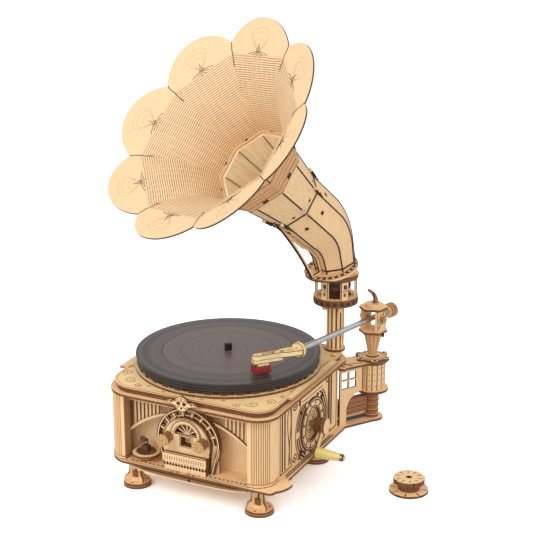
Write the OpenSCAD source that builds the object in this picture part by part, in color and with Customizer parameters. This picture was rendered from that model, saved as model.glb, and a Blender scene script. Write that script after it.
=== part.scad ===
// Table gramophone built up from laser-cut plywood, with a petal horn.
// Layout: the spindle is the middle of the layout, +X is right, -Y is the front, +Z is up.
// place() then moves the whole so that the origin is under the middle of its bounding box.

/* [Sheets and fits] */
// Thickness of the plywood sheets
ply = 3; // [2.6:0.1:3.3]
// Gap between faces that move past each other
run_gap = 0.3; // [0.2:0.05:0.4]
// Radial clearance of a shaft in its bore
shaft_play = 0.05; // [0.02:0.01:0.09]
// Glue gap between pieces that are fixed side by side
seat_gap = 0.2; // [0.1:0.05:0.3]

/* [Cabinet] */
// Half of the width over the side frames
body_half_w = 107; // [100:1:112]
// Distance from the spindle forward to the front of the corner columns
body_front = 111; // [105:0.5:116]
// Distance from the spindle back to the outside of the back wall
body_back = 88.8; // [80:1:92]
// Height of the walls
body_h = 87.2; // [82:1:93]
// Radius of the fluted corner columns
column_r = 22; // [18:1:25]
// Number of flutes on each corner column
flutes = 9; // [5:1:11]
// How far the base plate and the lower moulding reach past the right wall's frame
plate_over = 9; // [7:0.5:12]
// How much less they reach on the left
left_less = 7.5; // [4:0.5:7.5]
// How far the base plate reaches past the columns in front
ledge = 4.5; // [4:0.5:8]
// How far the base plate reaches past the back wall
back_ledge = 21.2; // [17:0.2:23]
// Corner radius of the base plate in front
base_corner = 30; // [26:1:34]
// How far the base plate's ear reaches out at the right
ear_out = 10; // [6:0.5:12]
// Height of the plinth frame under the base plate
plinth_h = 9; // [6:1:12]
// How far the plinth frame stands back from the base plate's edge
plinth_inset = 9.5; // [7:0.5:13]
// Free room round a foot's stem in the plinth frame
stem_room = 13.5; // [12.6:0.1:15]

/* [Feet] */
// Clear height under the plinth frame
foot_h = 32.3; // [28:0.1:36]
// Radius of a foot
foot_r = 17.2; // [14:0.2:19]
// Distance of the feet from the middle, sideways
foot_x = 83.4; // [75:1:90]
// Distance of the front feet in front of the spindle
foot_front = 82.6; // [76:1:88]
// Distance of the rear feet behind the spindle
foot_rear = 76; // [70:1:84]

/* [Front] */
// Depth of the front panel's face behind the corner columns
panel_set = 14.6; // [11:0.2:17]
// Depth of the recess behind the front panel
recess_depth = 14.6; // [10:0.2:18]
// Outer radius of the big arch
arch_r = 42; // [38:0.5:44]
// Height of the arch's centre above the cabinet's floor
arch_rise = 36; // [32:0.5:38]
// Radius of the radio body inside the arch
radio_r = 31.5; // [28:0.5:34]
// Radius of the knobs
knob_r = 7.6; // [6:0.1:8.5]
// How far the radio face stands in front of the panel
radio_t = 11; // [7:0.5:13]
// How far the key shelf stands in front of the panel
shelf_out = 14.6; // [11:0.2:16]
// Length of the knobs
knob_len = 14; // [10:0.5:16]
// Distance of the knobs from the middle
knob_x = 23.4; // [20:0.2:24]

/* [Deck] */
// Thickness of the middle layer of the mouldings
middle_h = 6; // [4:0.5:8]
// Corner radius of the mouldings
deck_corner = 28; // [24:1:34]
// Corner radius of the mouldings at the front on the left
deck_corner_left = 40; // [34:1:44]
// How far the lower moulding reaches past the columns in front
deck_over = 13; // [10:0.5:15]
// How far the lower moulding reaches past the back wall
deck_over_back = 26.2; // [24:0.2:29]
// How far the deck plate stands back from the lower moulding
deck_step = 4.5; // [2:0.5:6]
// Outer radius of the slotted ring under the platter
well_r = 113; // [110:1:115]

/* [Turntable] */
// Radius of the record
record_r = 112; // [106:1:113]
// Thickness of the record
record_t = 2; // [1.5:0.1:2.5]
// Thickness of the platter mat
mat_t = 8.7; // [6:0.1:10]
// Radius of the wooden platter
platter_r = 108; // [104:1:109]
// Radius of the spindle shaft
spindle_r = 3.55; // [3.4:0.05:3.6]
// Radius of the driven disc on the spindle shaft
drive_disc_r = 30; // [26:1:34]
// Radius at which the friction wheel drives the disc
drive_at = 18; // [16:1:20]

/* [Drive] */
// Height of the crank shaft above the cabinet's floor
crank_rise = 35.7; // [35:0.1:37]
// Distance of the crank shaft behind the spindle
crank_y = 11; // [6:1:12]
// Module of the gears
gear_module = 1.3; // [1.2:0.05:1.35]
// Teeth of the large gear
gear_teeth = 48; // [48:4:48]
// Teeth of the pinion
pinion_teeth = 12; // [12:1:12]
// Thickness of the gears
gear_t = 6; // [4:1:8]
// Radius of the crank shaft
crank_shaft_r = 4; // [3:0.5:5]
// Radius of the countershaft
counter_r = 2.5; // [2:0.5:3]
// Radius of the rubber-tyred friction wheel
wheel_r = 9; // [7:0.5:9]
// Length of the crank arm from shaft to handle
crank_len = 34; // [28:1:36]
// Angle of the crank arm at rest, seen from the right with 0 towards the back
crank_angle = 229; // [200:1:330]
// Length of the crank handle
handle_len = 34; // [28:1:40]
// Radius of the handle at its root
handle_r = 7; // [5:0.5:8]

/* [Tower and tonearm] */
// Place of the tonearm tower to the right of the spindle
tower_x = 131; // [128:1:134]
// Place of the tonearm tower behind the spindle
tower_y = 142; // [140:1:146]
// Radius of the fluted drum
drum_r = 17; // [15:0.5:18]
// Radius of the turned stack under the drum
stack_r = 9.5; // [8:0.5:11]
// How far the tower's shelf lies below the deck
shelf_drop = 23.5; // [21:0.5:26]
// Height of the tonearm pivot above the deck
pivot_rise = 33.7; // [32:0.1:36]
// Heading of the tonearm from straight forward, towards the record
arm_heading = 12; // [11:0.5:12]
// Upward pitch of the tonearm
arm_pitch = 1.3; // [0:0.1:2]
// Radius of the tonearm tube
tube_r = 3.6; // [2.5:0.1:3.8]
// Length of the tube in front of the pivot
tube_front = 160; // [150:1:165]
// Length of the tube behind the pivot
tube_tail = 43; // [38:1:46]
// Angle of the headshell against the tube
shell_offset = 25; // [18:1:28]
// Length of the headshell
shell_len = 57; // [50:1:60]
// Radius of the counterweight
weight_r = 9.5; // [7:0.5:11]

/* [Horn] */
// Place of the horn post to the right of the spindle
post_x = 97; // [94:1:99]
// Place of the horn post behind the spindle
post_y = 101; // [99:1:102]
// Radius of the horn post
post_r = 11; // [9:0.5:11]
// Height of the horn post above the deck
post_h = 59.5; // [55:0.5:65]
// Radius of the collar's plates
collar_r = 27.5; // [25:0.5:29]
// Height of the lantern cage
lantern_h = 29.2; // [26:0.2:32]
// Heading of the horn from straight forward, towards the left
horn_heading = 23.8; // [10:0.2:35]
// Rise of the horn's axis above level
horn_tilt = 40.6; // [36:0.2:45]
// Turn of the bell about its own axis
horn_roll = 4.6; // [0:0.2:10]
// Distance of the rim's middle from the post
bell_reach = 190; // [180:1:198]
// Height of the rim's middle above the deck
bell_rise = 306.3; // [298:0.1:313]
// Radius of the bell's notches
notch_r = 124; // [116:1:130]
// Radius of the bell's throat, at the corners
throat_r = 50.5; // [46:0.5:54]
// Depth of the bell behind the notches
bell_depth = 83.5; // [78:0.5:90]
// How far the round lobes reach past the notches' chord
lobe_reach = 31; // [26:1:36]
// Thickness of the petals
petal_t = 2; // [1.5:0.1:2.5]
// Length of the straight neck
neck_len = 70; // [64:1:76]
// Radius of the neck at its joint, at the corners
joint_r = 37; // [34:0.5:40]
// Radius of the elbow at its foot, at the corners
elbow_foot_r = 25.5; // [24:0.5:27]
// Forward lean of the elbow's foot
foot_lean = 15; // [8:1:18]

/* [Adapter] */
// Place of the loose adapter to the right of the spindle
adapter_x = 221; // [205:1:230]
// Place of the loose adapter behind the spindle
adapter_y = 46; // [20:1:60]
// Radius of the adapter's base
adapter_base_r = 23.6; // [22:0.1:25]
// Radius of the adapter's rim, for records with a large hole
adapter_rim_r = 19; // [18.9:0.05:19.1]
// Radius of the adapter's bore
adapter_bore_r = 3.65; // [3.6:0.01:3.7]

/* [Hidden] */
$fn = 64;
wood = [0.98, 0.85, 0.67];
burnt = [0.45, 0.28, 0.14];
layered = [0.72, 0.47, 0.29];
black = [0.08, 0.08, 0.09];
steel = [0.72, 0.72, 0.74];
brass = [0.85, 0.70, 0.35];

// Offset of the spindle from the middle of the bounding box
mid_x = 63.7;
mid_y = 2.8;

plate_half_w = body_half_w + plate_over;
plate_left = plate_half_w - left_less;
plate_front = body_front + ledge;
plate_back = body_back + back_ledge;
deck_front = body_front + deck_over;
deck_back = body_back + deck_over_back;
plinth_z = foot_h;
plate_z = plinth_z + plinth_h;
floor_z = plate_z + ply;
mould_z = floor_z + body_h;
middle_z = mould_z + ply;
deck_z = middle_z + middle_h;
deck_top = deck_z + ply;

frame_x = body_half_w - ply;
wall_x = frame_x - ply;
column_x = body_half_w - column_r;
column_y = body_front - column_r;
return_t = 3;
panel_y = -body_front + panel_set;
recess_y = panel_y + recess_depth + ply;
arch_z = floor_z + arch_rise;
knob_z = arch_z + 5;
radio_y = panel_y - radio_t;
rail_r = 120;
rail_z = -7;

platter_z = deck_top + 3.4;
mat_z = platter_z + 3.4;
record_z = mat_z + mat_t;
record_top = record_z + record_t;
cap_h = 9.5;
cap_r = 4.6;

crank_z = floor_z + crank_rise;
gear_pitch_r = gear_module * gear_teeth / 2;
pinion_pitch_r = gear_module * pinion_teeth / 2;
gear_span = gear_pitch_r + pinion_pitch_r;
counter_z = crank_z + sqrt(gear_span * gear_span - crank_y * crank_y);
mesh_angle = atan2(counter_z - crank_z, -crank_y);
disc_z = counter_z + wheel_r + run_gap;
gear_x = 60;
frame_in_x = 28;
frame_out_x = 78;
pedestal_r = 10;
pedestal_h = counter_z + 3 - floor_z;
hub_x = body_half_w + 5.5;
arm_x = 121;
handle_x = arm_x + ply + run_gap;
handle_y = crank_y + crank_len * cos(crank_angle);
handle_z = crank_z + crank_len * sin(crank_angle);
handle_pin_r = 2;

shelf_z = deck_top - shelf_drop;
ring_z = shelf_z + ply;
yoke_z = ring_z + ply + run_gap;
drum_h = 36;
drum_z = shelf_z - drum_h;
drum_base_z = drum_z - 3.5;
pivot_z = deck_top + pivot_rise;
yoke_low_z = pivot_z - 18.2;
yoke_top_z = pivot_z + 12.3;
yoke_r = 18;
yoke_pin_r = 4;
cheek_y = 9.5;
pivot_r = 2;

collar_z = deck_top + post_h;
lantern_z = collar_z + 9.5;
swivel_z = lantern_z + lantern_h + run_gap;
swivel_r = 12;
rim_z = deck_top + bell_rise;
neck_top = bell_depth + 0.8;
joint_d = neck_top + neck_len;
joint_s = bell_reach - joint_d * cos(horn_tilt);
joint_z = rim_z - joint_d * sin(horn_tilt);
elbow_s = 8.5;
elbow_z = swivel_z + 10.8;
foot_s = 1;
foot_z = elbow_z + (elbow_s - foot_s) * tan(foot_lean);
flange_r = 33.5;

// Shared shapes

module place() translate([-mid_x, -mid_y, 0]) children();

// A flat outline in X and Z, cut from a board whose back is at y and whose face is t in front of it
module board_xz(y, t) translate([0, y, 0]) rotate([90, 0, 0]) linear_extrude(t) children();

// A flat outline in Y and Z, cut from a board that runs from x to x + t
module board_yz(x, t) translate([x, 0, 0]) rotate([90, 0, 90]) linear_extrude(t) children();

module rounded_plate(half_w, front, back, r) {
    translate([-half_w + r, -front]) square([2 * (half_w - r), front + back]);
    translate([-half_w, -front + r]) square([2 * half_w, front + back - 2 * r]);
    for (x = [-1, 1], y = [-front + r, back - r]) translate([x * (half_w - r), y]) circle(r);
}

// The same with a reach and a front corner of its own on the left
module uneven_plate(left, right, front, back, r_left, r) {
    translate([-left + r_left, -front]) square([left - r_left + right - r, front + back]);
    translate([-left, -front + r_left]) square([left, front - r_left + back - r]);
    translate([-left + r, -front + r_left]) square([r_left - r + 1, front - r_left + back]);
    translate([0, -front + r]) square([right, front + back - 2 * r]);
    translate([-left + r_left, -front + r_left]) circle(r_left);
    translate([right - r, -front + r]) circle(r);
    for (x = [-left + r, right - r]) translate([x, back - r]) circle(r);
}

module ring2d(outer, inner) difference() {
    circle(outer);
    circle(inner);
}

// Points of a round arc about a centre
function arc(cx, cy, r, from, to, n) =
    [for (i = [0 : n]) let (a = from + (to - from) * i / n) [cx + r * cos(a), cy + r * sin(a)]];

// One flank of an involute tooth, from the root to the tip
function flank(base_r, tip_r, half) = [for (i = [0 : 4])
    let (r = base_r + (tip_r - base_r) * i / 4, t = acos(base_r / r), roll = tan(t) * 180 / PI - t)
    [r, half - roll]];

module gear2d(teeth, m) {
    pitch = m * teeth / 2;
    base = pitch * cos(20);
    tip = pitch + 0.85 * m;
    root = pitch - 1.15 * m;
    at_pitch = tan(20) * 180 / PI - 20;
    half = 360 / teeth / 4 * 0.90 + at_pitch;
    side = flank(max(base, root), tip, half);
    circle(root);
    for (k = [0 : teeth - 1]) rotate(k * 360 / teeth) polygon(concat(
        [[(root - 0.4) * cos(half), -(root - 0.4) * sin(half)]],
        [for (p = side) [p[0] * cos(p[1]), -p[0] * sin(p[1])]],
        [for (i = [4 : -1 : 0]) [side[i][0] * cos(side[i][1]), side[i][0] * sin(side[i][1])]],
        [[(root - 0.4) * cos(half), (root - 0.4) * sin(half)]]));
}

// Cabinet

module base_outline() {
    ear_x = plate_half_w + ear_out - base_corner;
    difference() {
        union() {
            uneven_plate(plate_left, plate_half_w, plate_front, plate_back, base_corner, 6);
            translate([0, -plate_front]) square([ear_x, base_corner]);
            translate([ear_x, -plate_front + base_corner]) circle(base_corner);
        }
        translate([plate_half_w + 12, -plate_front + base_corner + 16]) circle(12);
        translate([-plate_left, plate_back]) circle(15);
    }
    tower_arm(60);
}

// The tongue that carries the tower, on the base plate and on the shelf
module tower_arm(from_y) {
    translate([tower_x, tower_y]) circle(15);
    difference() {
        polygon([[plate_half_w - 46, plate_back - 1], [plate_half_w, from_y], [plate_half_w, plate_back - 16],
            [tower_x + 14, tower_y - 4], [tower_x - 10, tower_y + 11], [plate_half_w - 30, plate_back]]);
        translate([tower_x + 12, tower_y - 36]) circle(14);
    }
}

module base_plate() color(wood) translate([0, 0, plate_z]) linear_extrude(ply) base_outline();

// The plinth frame leaves the corners free, where the feet's stems go up to the base plate
module plinth_frame() color(layered) translate([0, 0, plinth_z]) linear_extrude(plinth_h) difference() {
    uneven_plate(plate_left - plinth_inset, plate_half_w - plinth_inset, plate_front - plinth_inset,
        plate_back - plinth_inset, 6, 5);
    rounded_plate(foot_x - 2 * stem_room, foot_front - 2 * stem_room, foot_rear - 2 * stem_room, 4);
    for (x = [-1, 1], y = [-1, 1]) translate([x * (foot_x + 25), y < 0 ? -foot_front - 25 : foot_rear + 25])
        square(2 * (25 + stem_room), center = true);
}

// Bowed strip in front of the plinth frame
module front_stretcher() color(wood) translate([(plate_half_w - plate_left) / 2, 0, 0])
    board_xz(-plate_front + plinth_inset - seat_gap, ply) {
        reach = foot_x - 7;
        sag = 1.5;
        top = plate_z - seat_gap;
        difference() {
            polygon(concat([[reach, top], [reach - 5, top], [reach - 9, plinth_z + 5.5], [reach - 16, plinth_z + 4],
                [-reach + 16, plinth_z + 4], [-reach + 9, plinth_z + 5.5], [-reach + 5, top], [-reach, top]],
                [for (i = [0 : 16]) let (x = -reach + 2 * reach * i / 16)
                    [x, plinth_z - sag + (sag + 3) * pow(x / reach, 4)]]));
            translate([0, plinth_z + 1.5]) square(3, center = true);
        }
    }

module foot() {
    cylinder(r = foot_r, h = ply);
    translate([0, 0, ply]) linear_extrude(ply) difference() {
        circle(foot_r - 0.8);
        for (k = [0 : 5]) rotate(60 * k + 30) translate([foot_r - 5, 0]) square([3, 2], center = true);
    }
    translate([0, 0, 2 * ply]) cylinder(r1 = 7.5, r2 = 4.5, h = 9);
    for (k = [0 : 2]) rotate(120 * k + 90) rotate([90, 0, 0]) translate([0, 0, -ply / 2]) linear_extrude(ply)
        difference() {
            polygon([[0, 2 * ply], [foot_r - 3, 2 * ply], [foot_r - 3, 11], [9, 15], [9, plate_z - 9],
                [12, plate_z - 5], [12, plate_z], [0, plate_z]]);
            translate([foot_r - 2, 18]) circle(5.6);
        }
    translate([0, 0, plate_z - 2 * ply]) cylinder(r = 10, h = 2 * ply);
}

module feet() color(wood) for (x = [-foot_x, foot_x], y = [-foot_front, foot_rear]) translate([x, y, 0]) foot();

module wall_left() color(wood) board_yz(-frame_x, ply)
    translate([-column_y + 10, floor_z]) square([column_y - 10 + body_back - ply - seat_gap, body_h]);

module wall_right() color(wood) board_yz(wall_x, ply) difference() {
    translate([-column_y + 10, floor_z]) square([column_y - 10 + body_back - ply - seat_gap, body_h]);
    translate([crank_y, crank_z]) circle(crank_shaft_r + shaft_play);
}

module wall_back() color(wood) board_xz(body_back, ply) difference() {
    translate([-frame_x, floor_z]) square([2 * frame_x, body_h]);
    for (k = [-4 : 4]) translate([k * 9 - 2, floor_z + 40]) square([4, 26]);
}

// Pierced frame on each side wall: two long slots at each end and a stepped middle field
module side_field() {
    front = column_y - 10;
    back = body_back;
    difference() {
        translate([-front, floor_z]) square([front + back, body_h]);
        for (y = [-front + 7, -front + 14]) translate([y, floor_z + 6]) square([3.4, body_h - 12]);
        translate([back - 22, floor_z + 12]) square([3.4, body_h - 26]);
        translate([back - 30, floor_z + 12]) square([3.4, body_h - 26]);
        for (a = [-1, 1]) translate([crank_y + a * 31, floor_z + 9]) circle(4.5);
        for (a = [-1, 1]) translate([crank_y + a * 31, crank_z + 26]) circle(3.2);
    }
}

module side_frame_left() color(wood) board_yz(-body_half_w, ply) difference() {
    side_field();
    translate([crank_y, crank_z]) ring2d(27, 21);
    translate([crank_y, crank_z]) circle(14);
}

module side_frame_right() color(wood) {
    board_yz(frame_x, ply) difference() {
        side_field();
        translate([crank_y, crank_z]) circle(24);
    }
    board_yz(frame_x, ply + 2) translate([crank_y, crank_z]) difference() {
        circle(33);
        circle(21);
        for (k = [0 : 11]) rotate(30 * k + 15) translate([27, 0]) square([5, 3], center = true);
    }
    board_yz(frame_x, ply + 2) translate([crank_y, crank_z]) for (a = [60, 120, 240, 300])
        rotate(a) translate([32, -2.5]) square([6.4, 5]);
    board_yz(body_half_w - 0.5, ply) difference() {
        translate([crank_y - 36, mould_z - 15]) square([66, 14.6]);
        translate([crank_y - 32, mould_z - 12]) square([58, 1.2]);
        translate([crank_y - 32, mould_z - 4.4]) square([58, 1.2]);
    }
    board_yz(frame_x, 1.5) translate([crank_y, crank_z]) difference() {
        circle(24.5);
        for (r = [20, 16, 12.5]) ring2d(r, r - 1.6);
        circle(9.8);
    }
}

module fluted_corner() {
    linear_extrude(body_h) {
        difference() {
            intersection() {
                translate([column_x, -column_y]) circle(column_r);
                translate([column_x, -body_front]) square(column_r);
            }
            translate([column_x, -column_y]) circle(column_r - 5);
            for (k = [1 : flutes]) translate([column_x, -column_y])
                rotate(-90 + 72 * k / (flutes + 1)) translate([column_r + 0.3, 0]) circle(1.1);
        }
        translate([column_x - return_t, -body_front]) square([return_t, panel_set - seat_gap]);
        translate([body_half_w - 5, -column_y]) square([5, 10 - seat_gap]);
    }
    for (z = [0, body_h - 4]) translate([0, 0, z]) linear_extrude(4) intersection() {
        translate([column_x, -column_y]) ring2d(column_r + 1, column_r - 4);
        translate([column_x, -body_front - 2]) square(column_r + 2);
    }
}

module corner_columns() color(wood) translate([0, 0, floor_z]) {
    fluted_corner();
    mirror([1, 0, 0]) fluted_corner();
}

// Front relief

module front_panel() color(wood) board_xz(panel_y + ply, ply) difference() {
    translate([-column_x, floor_z]) square([2 * column_x, body_h]);
    difference() {
        translate([-column_x + 3, floor_z - 1]) square([2 * column_x - 6, body_h - 14]);
        translate([0, arch_z]) circle(arch_r - 2);
        translate([-arch_r + 4, floor_z - 2]) square([2 * arch_r - 8, arch_rise + 2]);
        translate([0, rail_z]) ring2d(rail_r, rail_r - 3);
    }
}

module recess_board() color(wood) board_xz(recess_y, ply)
    translate([-column_x - return_t - 8, floor_z]) square([2 * (column_x + return_t + 8), body_h]);

// Hanging slats behind the curved rail
module slat_screen() board_xz(panel_y + ply + seat_gap + 2.4, 2.4) {
    top = floor_z + body_h - 10;
    for (k = [0 : 6]) {
        x = column_x - 8 - 5.2 * k;
        low = rail_z + sqrt(pow(rail_r - 2, 2) - x * x);
        translate([x - 1.5, low]) square([3, top - low]);
    }
    translate([column_x - 42, top - 3]) square([38, 5]);
}

module slat_screens() color(wood) {
    slat_screen();
    mirror([1, 0, 0]) slat_screen();
}

module arch_outline(r, foot) {
    intersection() {
        translate([0, arch_z]) circle(r);
        translate([-r, arch_z - r / 2]) square([2 * r, 2 * r]);
    }
    polygon([[-r, arch_z], [r, arch_z], [foot, floor_z], [-foot, floor_z]]);
}

module arch_rim() color(wood) {
    board_xz(panel_y, 4) difference() {
        arch_outline(arch_r, arch_r - 9);
        arch_outline(radio_r + 0.4, arch_r - 14);
        for (a = [10 : 20 : 170]) translate([0, arch_z]) rotate(a)
            translate([radio_r + 2.2, -4.4]) square([arch_r - radio_r - 5.4, 8.8]);
    }
    board_xz(panel_y - 4, 2.4) difference() {
        arch_outline(arch_r, arch_r - 9);
        arch_outline(arch_r - 3, arch_r - 12);
    }
    board_xz(panel_y - 4, 2.4) for (a = [20 : 20 : 160]) translate([0, arch_z]) rotate(a)
        translate([radio_r + 0.8, -1.1]) square([arch_r - radio_r - 2, 2.2]);
}

module radio_face() color(wood) {
    difference() {
        board_xz(panel_y - seat_gap, radio_t - seat_gap) intersection() {
            arch_outline(radio_r, arch_r - 15);
            translate([-60, arch_z - 13]) square([120, 60]);
        }
        board_xz(panel_y, radio_t + 1) {
            intersection() {
                translate([0, arch_z + 9]) circle(15);
                translate([-20, arch_z + 10]) square([40, 30]);
            }
            translate([-7.5, arch_z - 4]) square([15, 12]);
        }
        for (x = [-knob_x, knob_x]) translate([x, panel_y + 1, knob_z]) rotate([90, 0, 0])
            cylinder(r = 2.5 + shaft_play, h = radio_t + 3);
    }
    board_xz(radio_y, 1.6) intersection() {
        translate([0, arch_z + 9]) ring2d(19, 16.4);
        translate([-20, arch_z + 10]) square([40, 30]);
    }
    board_xz(radio_y + 5, 2) intersection() {
        translate([0, arch_z + 10]) for (a = [0 : 30 : 180]) rotate(a) translate([0, -0.7]) square([15, 1.4]);
        translate([0, arch_z + 9]) circle(15.2);
    }
}

module key_shelf() color(wood) {
    top = arch_z - 13 - seat_gap;
    board_xz(panel_y - seat_gap, shelf_out) difference() {
        translate([-27.6, floor_z]) square([55.2, top - floor_z]);
        for (k = [-6 : 6]) translate([4 * k, floor_z + 6]) polygon([[-1.5, 0], [1.5, 0], [0, 5]]);
    }
    board_xz(panel_y - shelf_out, 2) difference() {
        translate([-29, floor_z + 12]) square([58, top - floor_z - 13]);
        for (k = [-8 : 8]) translate([3.2 * k - 0.4, floor_z + 14]) square([0.8, top - floor_z - 18]);
    }
}

module knob(x) color(wood) translate([x, panel_y - radio_t - run_gap, knob_z]) rotate([90, 0, 0]) {
    cylinder(r = knob_r - 1, h = knob_len - ply);
    translate([0, 0, knob_len - ply]) difference() {
        cylinder(r = knob_r, h = ply);
        for (k = [0 : 7]) rotate(45 * k) translate([knob_r - 2.4, 0, ply - 0.8]) cylinder(r = 0.9, h = 1, $fn = 16);
        translate([0, 0, ply - 0.8]) cylinder(r = 1.8, h = 1, $fn = 24);
    }
    translate([0, 0, -radio_t + 0.5]) cylinder(r = 2.5, h = radio_t);
}

module left_knob() knob(-knob_x);
module right_knob() knob(knob_x);

module miniature_table() color(wood) translate([-column_x + 25, recess_y - ply - 16.7, floor_z]) {
    cylinder(r = 6, h = 7);
    translate([0, 0, 7]) cylinder(r = 16.5, h = ply);
    translate([0, 0, 7 + ply]) cylinder(r = 12, h = 1.2);
    translate([-1, 2, 11]) {
        translate([-4, -4, 0]) cube([8, 8, 6]);
        translate([0, 0, 6]) cylinder(r = 3.2, h = 1);
        translate([0, 3, 6]) cylinder(r = 0.9, h = 7, $fn = 16);
        translate([0, 3, 12]) rotate([70, 0, -20]) cylinder(r1 = 0.9, r2 = 4.6, h = 8, $fn = 24);
    }
}

// Deck

module moulding_outline(inset) {
    uneven_plate(plate_left - inset, plate_half_w - inset, deck_front - inset, deck_back - inset,
        deck_corner_left - inset, deck_corner - inset);
}

module mouldings() color(wood) {
    translate([0, 0, mould_z]) linear_extrude(ply) difference() {
        moulding_outline(0);
        rounded_plate(84, 70, 80, 6);
    }
    color(burnt) translate([0, 0, middle_z]) linear_extrude(middle_h) difference() {
        moulding_outline(deck_step + 3);
        rounded_plate(84, 70, 80, 6);
    }
}

module deck_plate() color(wood) translate([0, 0, deck_z]) linear_extrude(ply) difference() {
    union() {
        moulding_outline(deck_step);
        translate([80, -66]) square([plate_half_w + 1 - 80, 130]);
        translate([-well_r - 1, -66]) square([well_r + 1 - 80, 130]);
    }
    circle(10 + shaft_play);
}

module front_crest() color(wood) translate([6, -deck_front - seat_gap, deck_z]) rotate([90, 0, 0]) linear_extrude(ply)
    difference() {
        half = [[0, 8.5], [6, 5.5], [9, 1], [14, 2.5], [22, -1.5], [14, -3], [9, -4.5], [5, -9], [0, -11]];
        polygon(concat(half, [for (i = [7 : -1 : 1]) [-half[i][0], half[i][1]]]));
        for (x = [-1, 1]) {
            translate([x * 4.2, -1]) circle(2.2);
            translate([x * 13, -0.3]) circle(1.3);
        }
        translate([0, -6.5]) circle(1.5);
    }

module well_ring() color(wood) translate([0, 0, deck_top]) linear_extrude(ply) difference() {
    ring2d(well_r, platter_r - 9);
    for (k = [0 : 35]) rotate(10 * k) translate([platter_r - 2, 0]) square([3, 7], center = true);
}

// Rear right corner

module shelf_board() color(wood) translate([0, 0, shelf_z]) linear_extrude(ply) difference() {
    union() {
        translate([plate_half_w - 46, body_back + seat_gap]) square([46, deck_back - body_back - 3]);
        tower_arm(body_back + 1);
        translate([tower_x, tower_y]) circle(20);
    }
    translate([tower_x, tower_y]) circle(yoke_pin_r + shaft_play);
    translate([plate_half_w - 18, body_back + 8]) square([14, 3]);
    translate([plate_half_w - 10, body_back + 15]) square([14, 3]);
}

module arm_shelf() {
    shelf_board();
    tower_ring();
}

module tower_stack() color(layered) translate([tower_x, tower_y, floor_z]) {
    layers = 10;
    step = (drum_base_z - floor_z) / layers;
    for (k = [0 : layers - 1]) translate([0, 0, k * step])
        cylinder(r = k % 2 == 0 ? stack_r : stack_r - 1.6, h = step + (k < layers - 1 ? 0.02 : 0));
}

module tower_drum() color(wood) translate([tower_x, tower_y, 0]) difference() {
    union() {
        translate([0, 0, drum_base_z]) cylinder(r = drum_r + 4, h = drum_z - drum_base_z);
        translate([0, 0, drum_z]) linear_extrude(drum_h) difference() {
            circle(drum_r);
            for (k = [0 : 15]) rotate(22.5 * k) translate([drum_r + 0.2, 0]) circle(0.9, $fn = 16);
        }
    }
    translate([0, 0, shelf_z - 22]) cylinder(r = yoke_pin_r + shaft_play, h = 30);
}

module tower_ring() color(wood) translate([tower_x, tower_y, ring_z]) {
    linear_extrude(ply) difference() {
        union() {
            circle(18);
            for (k = [0 : 5]) rotate(60 * k) translate([18.5, 0]) circle(4.5);
        }
        circle(yoke_pin_r + shaft_play);
        for (k = [0 : 5]) rotate(60 * k) translate([19, 0]) circle(1.6, $fn = 24);
    }
}

// The wall's rear corner and the tower, joined by a pierced bracket and a layered beam
brace_from = [body_half_w - 8, body_back + 3];
brace_turn = atan2(tower_y - brace_from[1], tower_x - brace_from[0]);
brace_len = norm([tower_x, tower_y] - brace_from) - stack_r - run_gap;

module along_brace() translate([brace_from[0], brace_from[1], 0]) rotate([0, 0, brace_turn]) children();

module bracket_board() color(wood) along_brace() translate([0, -6, 0]) rotate([90, 0, 0]) linear_extrude(ply)
    difference() {
        translate([5, floor_z]) square([brace_len - 17, shelf_z - floor_z - seat_gap]);
        for (x = [8, 19.5], z = [0, 12]) translate([x, shelf_z - 27 + z]) square([9.5, 10]);
        translate([brace_len - 11, shelf_z - 58]) circle(24);
        translate([brace_len - 35, floor_z - 1]) square([40, shelf_z - 57 - floor_z]);
    }

module rear_bracket() {
    bracket_board();
    tie_beam();
}

module tie_beam() color(layered) along_brace() {
    for (k = [0 : 6]) translate([2, -4, floor_z + 10 + ply * k])
        cube([brace_len - 2, 8 - k % 2, ply + (k < 6 ? 0.02 : 0)]);
    translate([2, 0, floor_z + 2.5]) rotate([0, 90, 0]) cylinder(r = 2, h = brace_len - 2);
}

// Horn post and collar

module horn_post() color(wood) translate([post_x, post_y, deck_top]) {
    linear_extrude(post_h) difference() {
        circle(post_r);
        circle(4);
        for (k = [0 : 11]) rotate(30 * k) translate([post_r + 0.3, 0]) circle(1.3, $fn = 16);
    }
    difference() {
        cylinder(r = post_r + 2, h = ply);
        translate([0, 0, -1]) cylinder(r = 4, h = ply + 2);
    }
}

module collar_base() color(wood) translate([post_x, post_y, collar_z]) difference() {
    union() {
        cylinder(r = post_r + 7, h = 3.1);
        translate([0, 0, 3.1]) cylinder(r = collar_r, h = 6.4);
        for (k = [0 : 3]) rotate(90 * k + 45) translate([post_r + 1, -2, -6]) cube([5, 4, 7]);
    }
    translate([0, 0, -1]) cylinder(r = 4, h = 12);
}

module lantern_cage() color(wood) translate([post_x, post_y, lantern_z]) {
    linear_extrude(ply) ring2d(collar_r, 19);
    for (k = [0 : 5]) rotate(60 * k + 20) translate([collar_r - 5, -5, ply]) difference() {
        cube([ply, 10, lantern_h - 2 * ply]);
        for (z = [4, 14]) translate([-1, 3, z]) cube([ply + 2, 4, 5]);
    }
    translate([0, 0, lantern_h - ply]) linear_extrude(ply) ring2d(collar_r, swivel_r + shaft_play);
}

module speaker() color(black) translate([post_x, post_y, lantern_z]) {
    cylinder(r = 11, h = 6);
    translate([0, 0, 6]) cylinder(r1 = 11, r2 = 17.5, h = 8);
    translate([0, 0, 14]) cylinder(r = 18.5, h = ply);
}

// Inner frame

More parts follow.
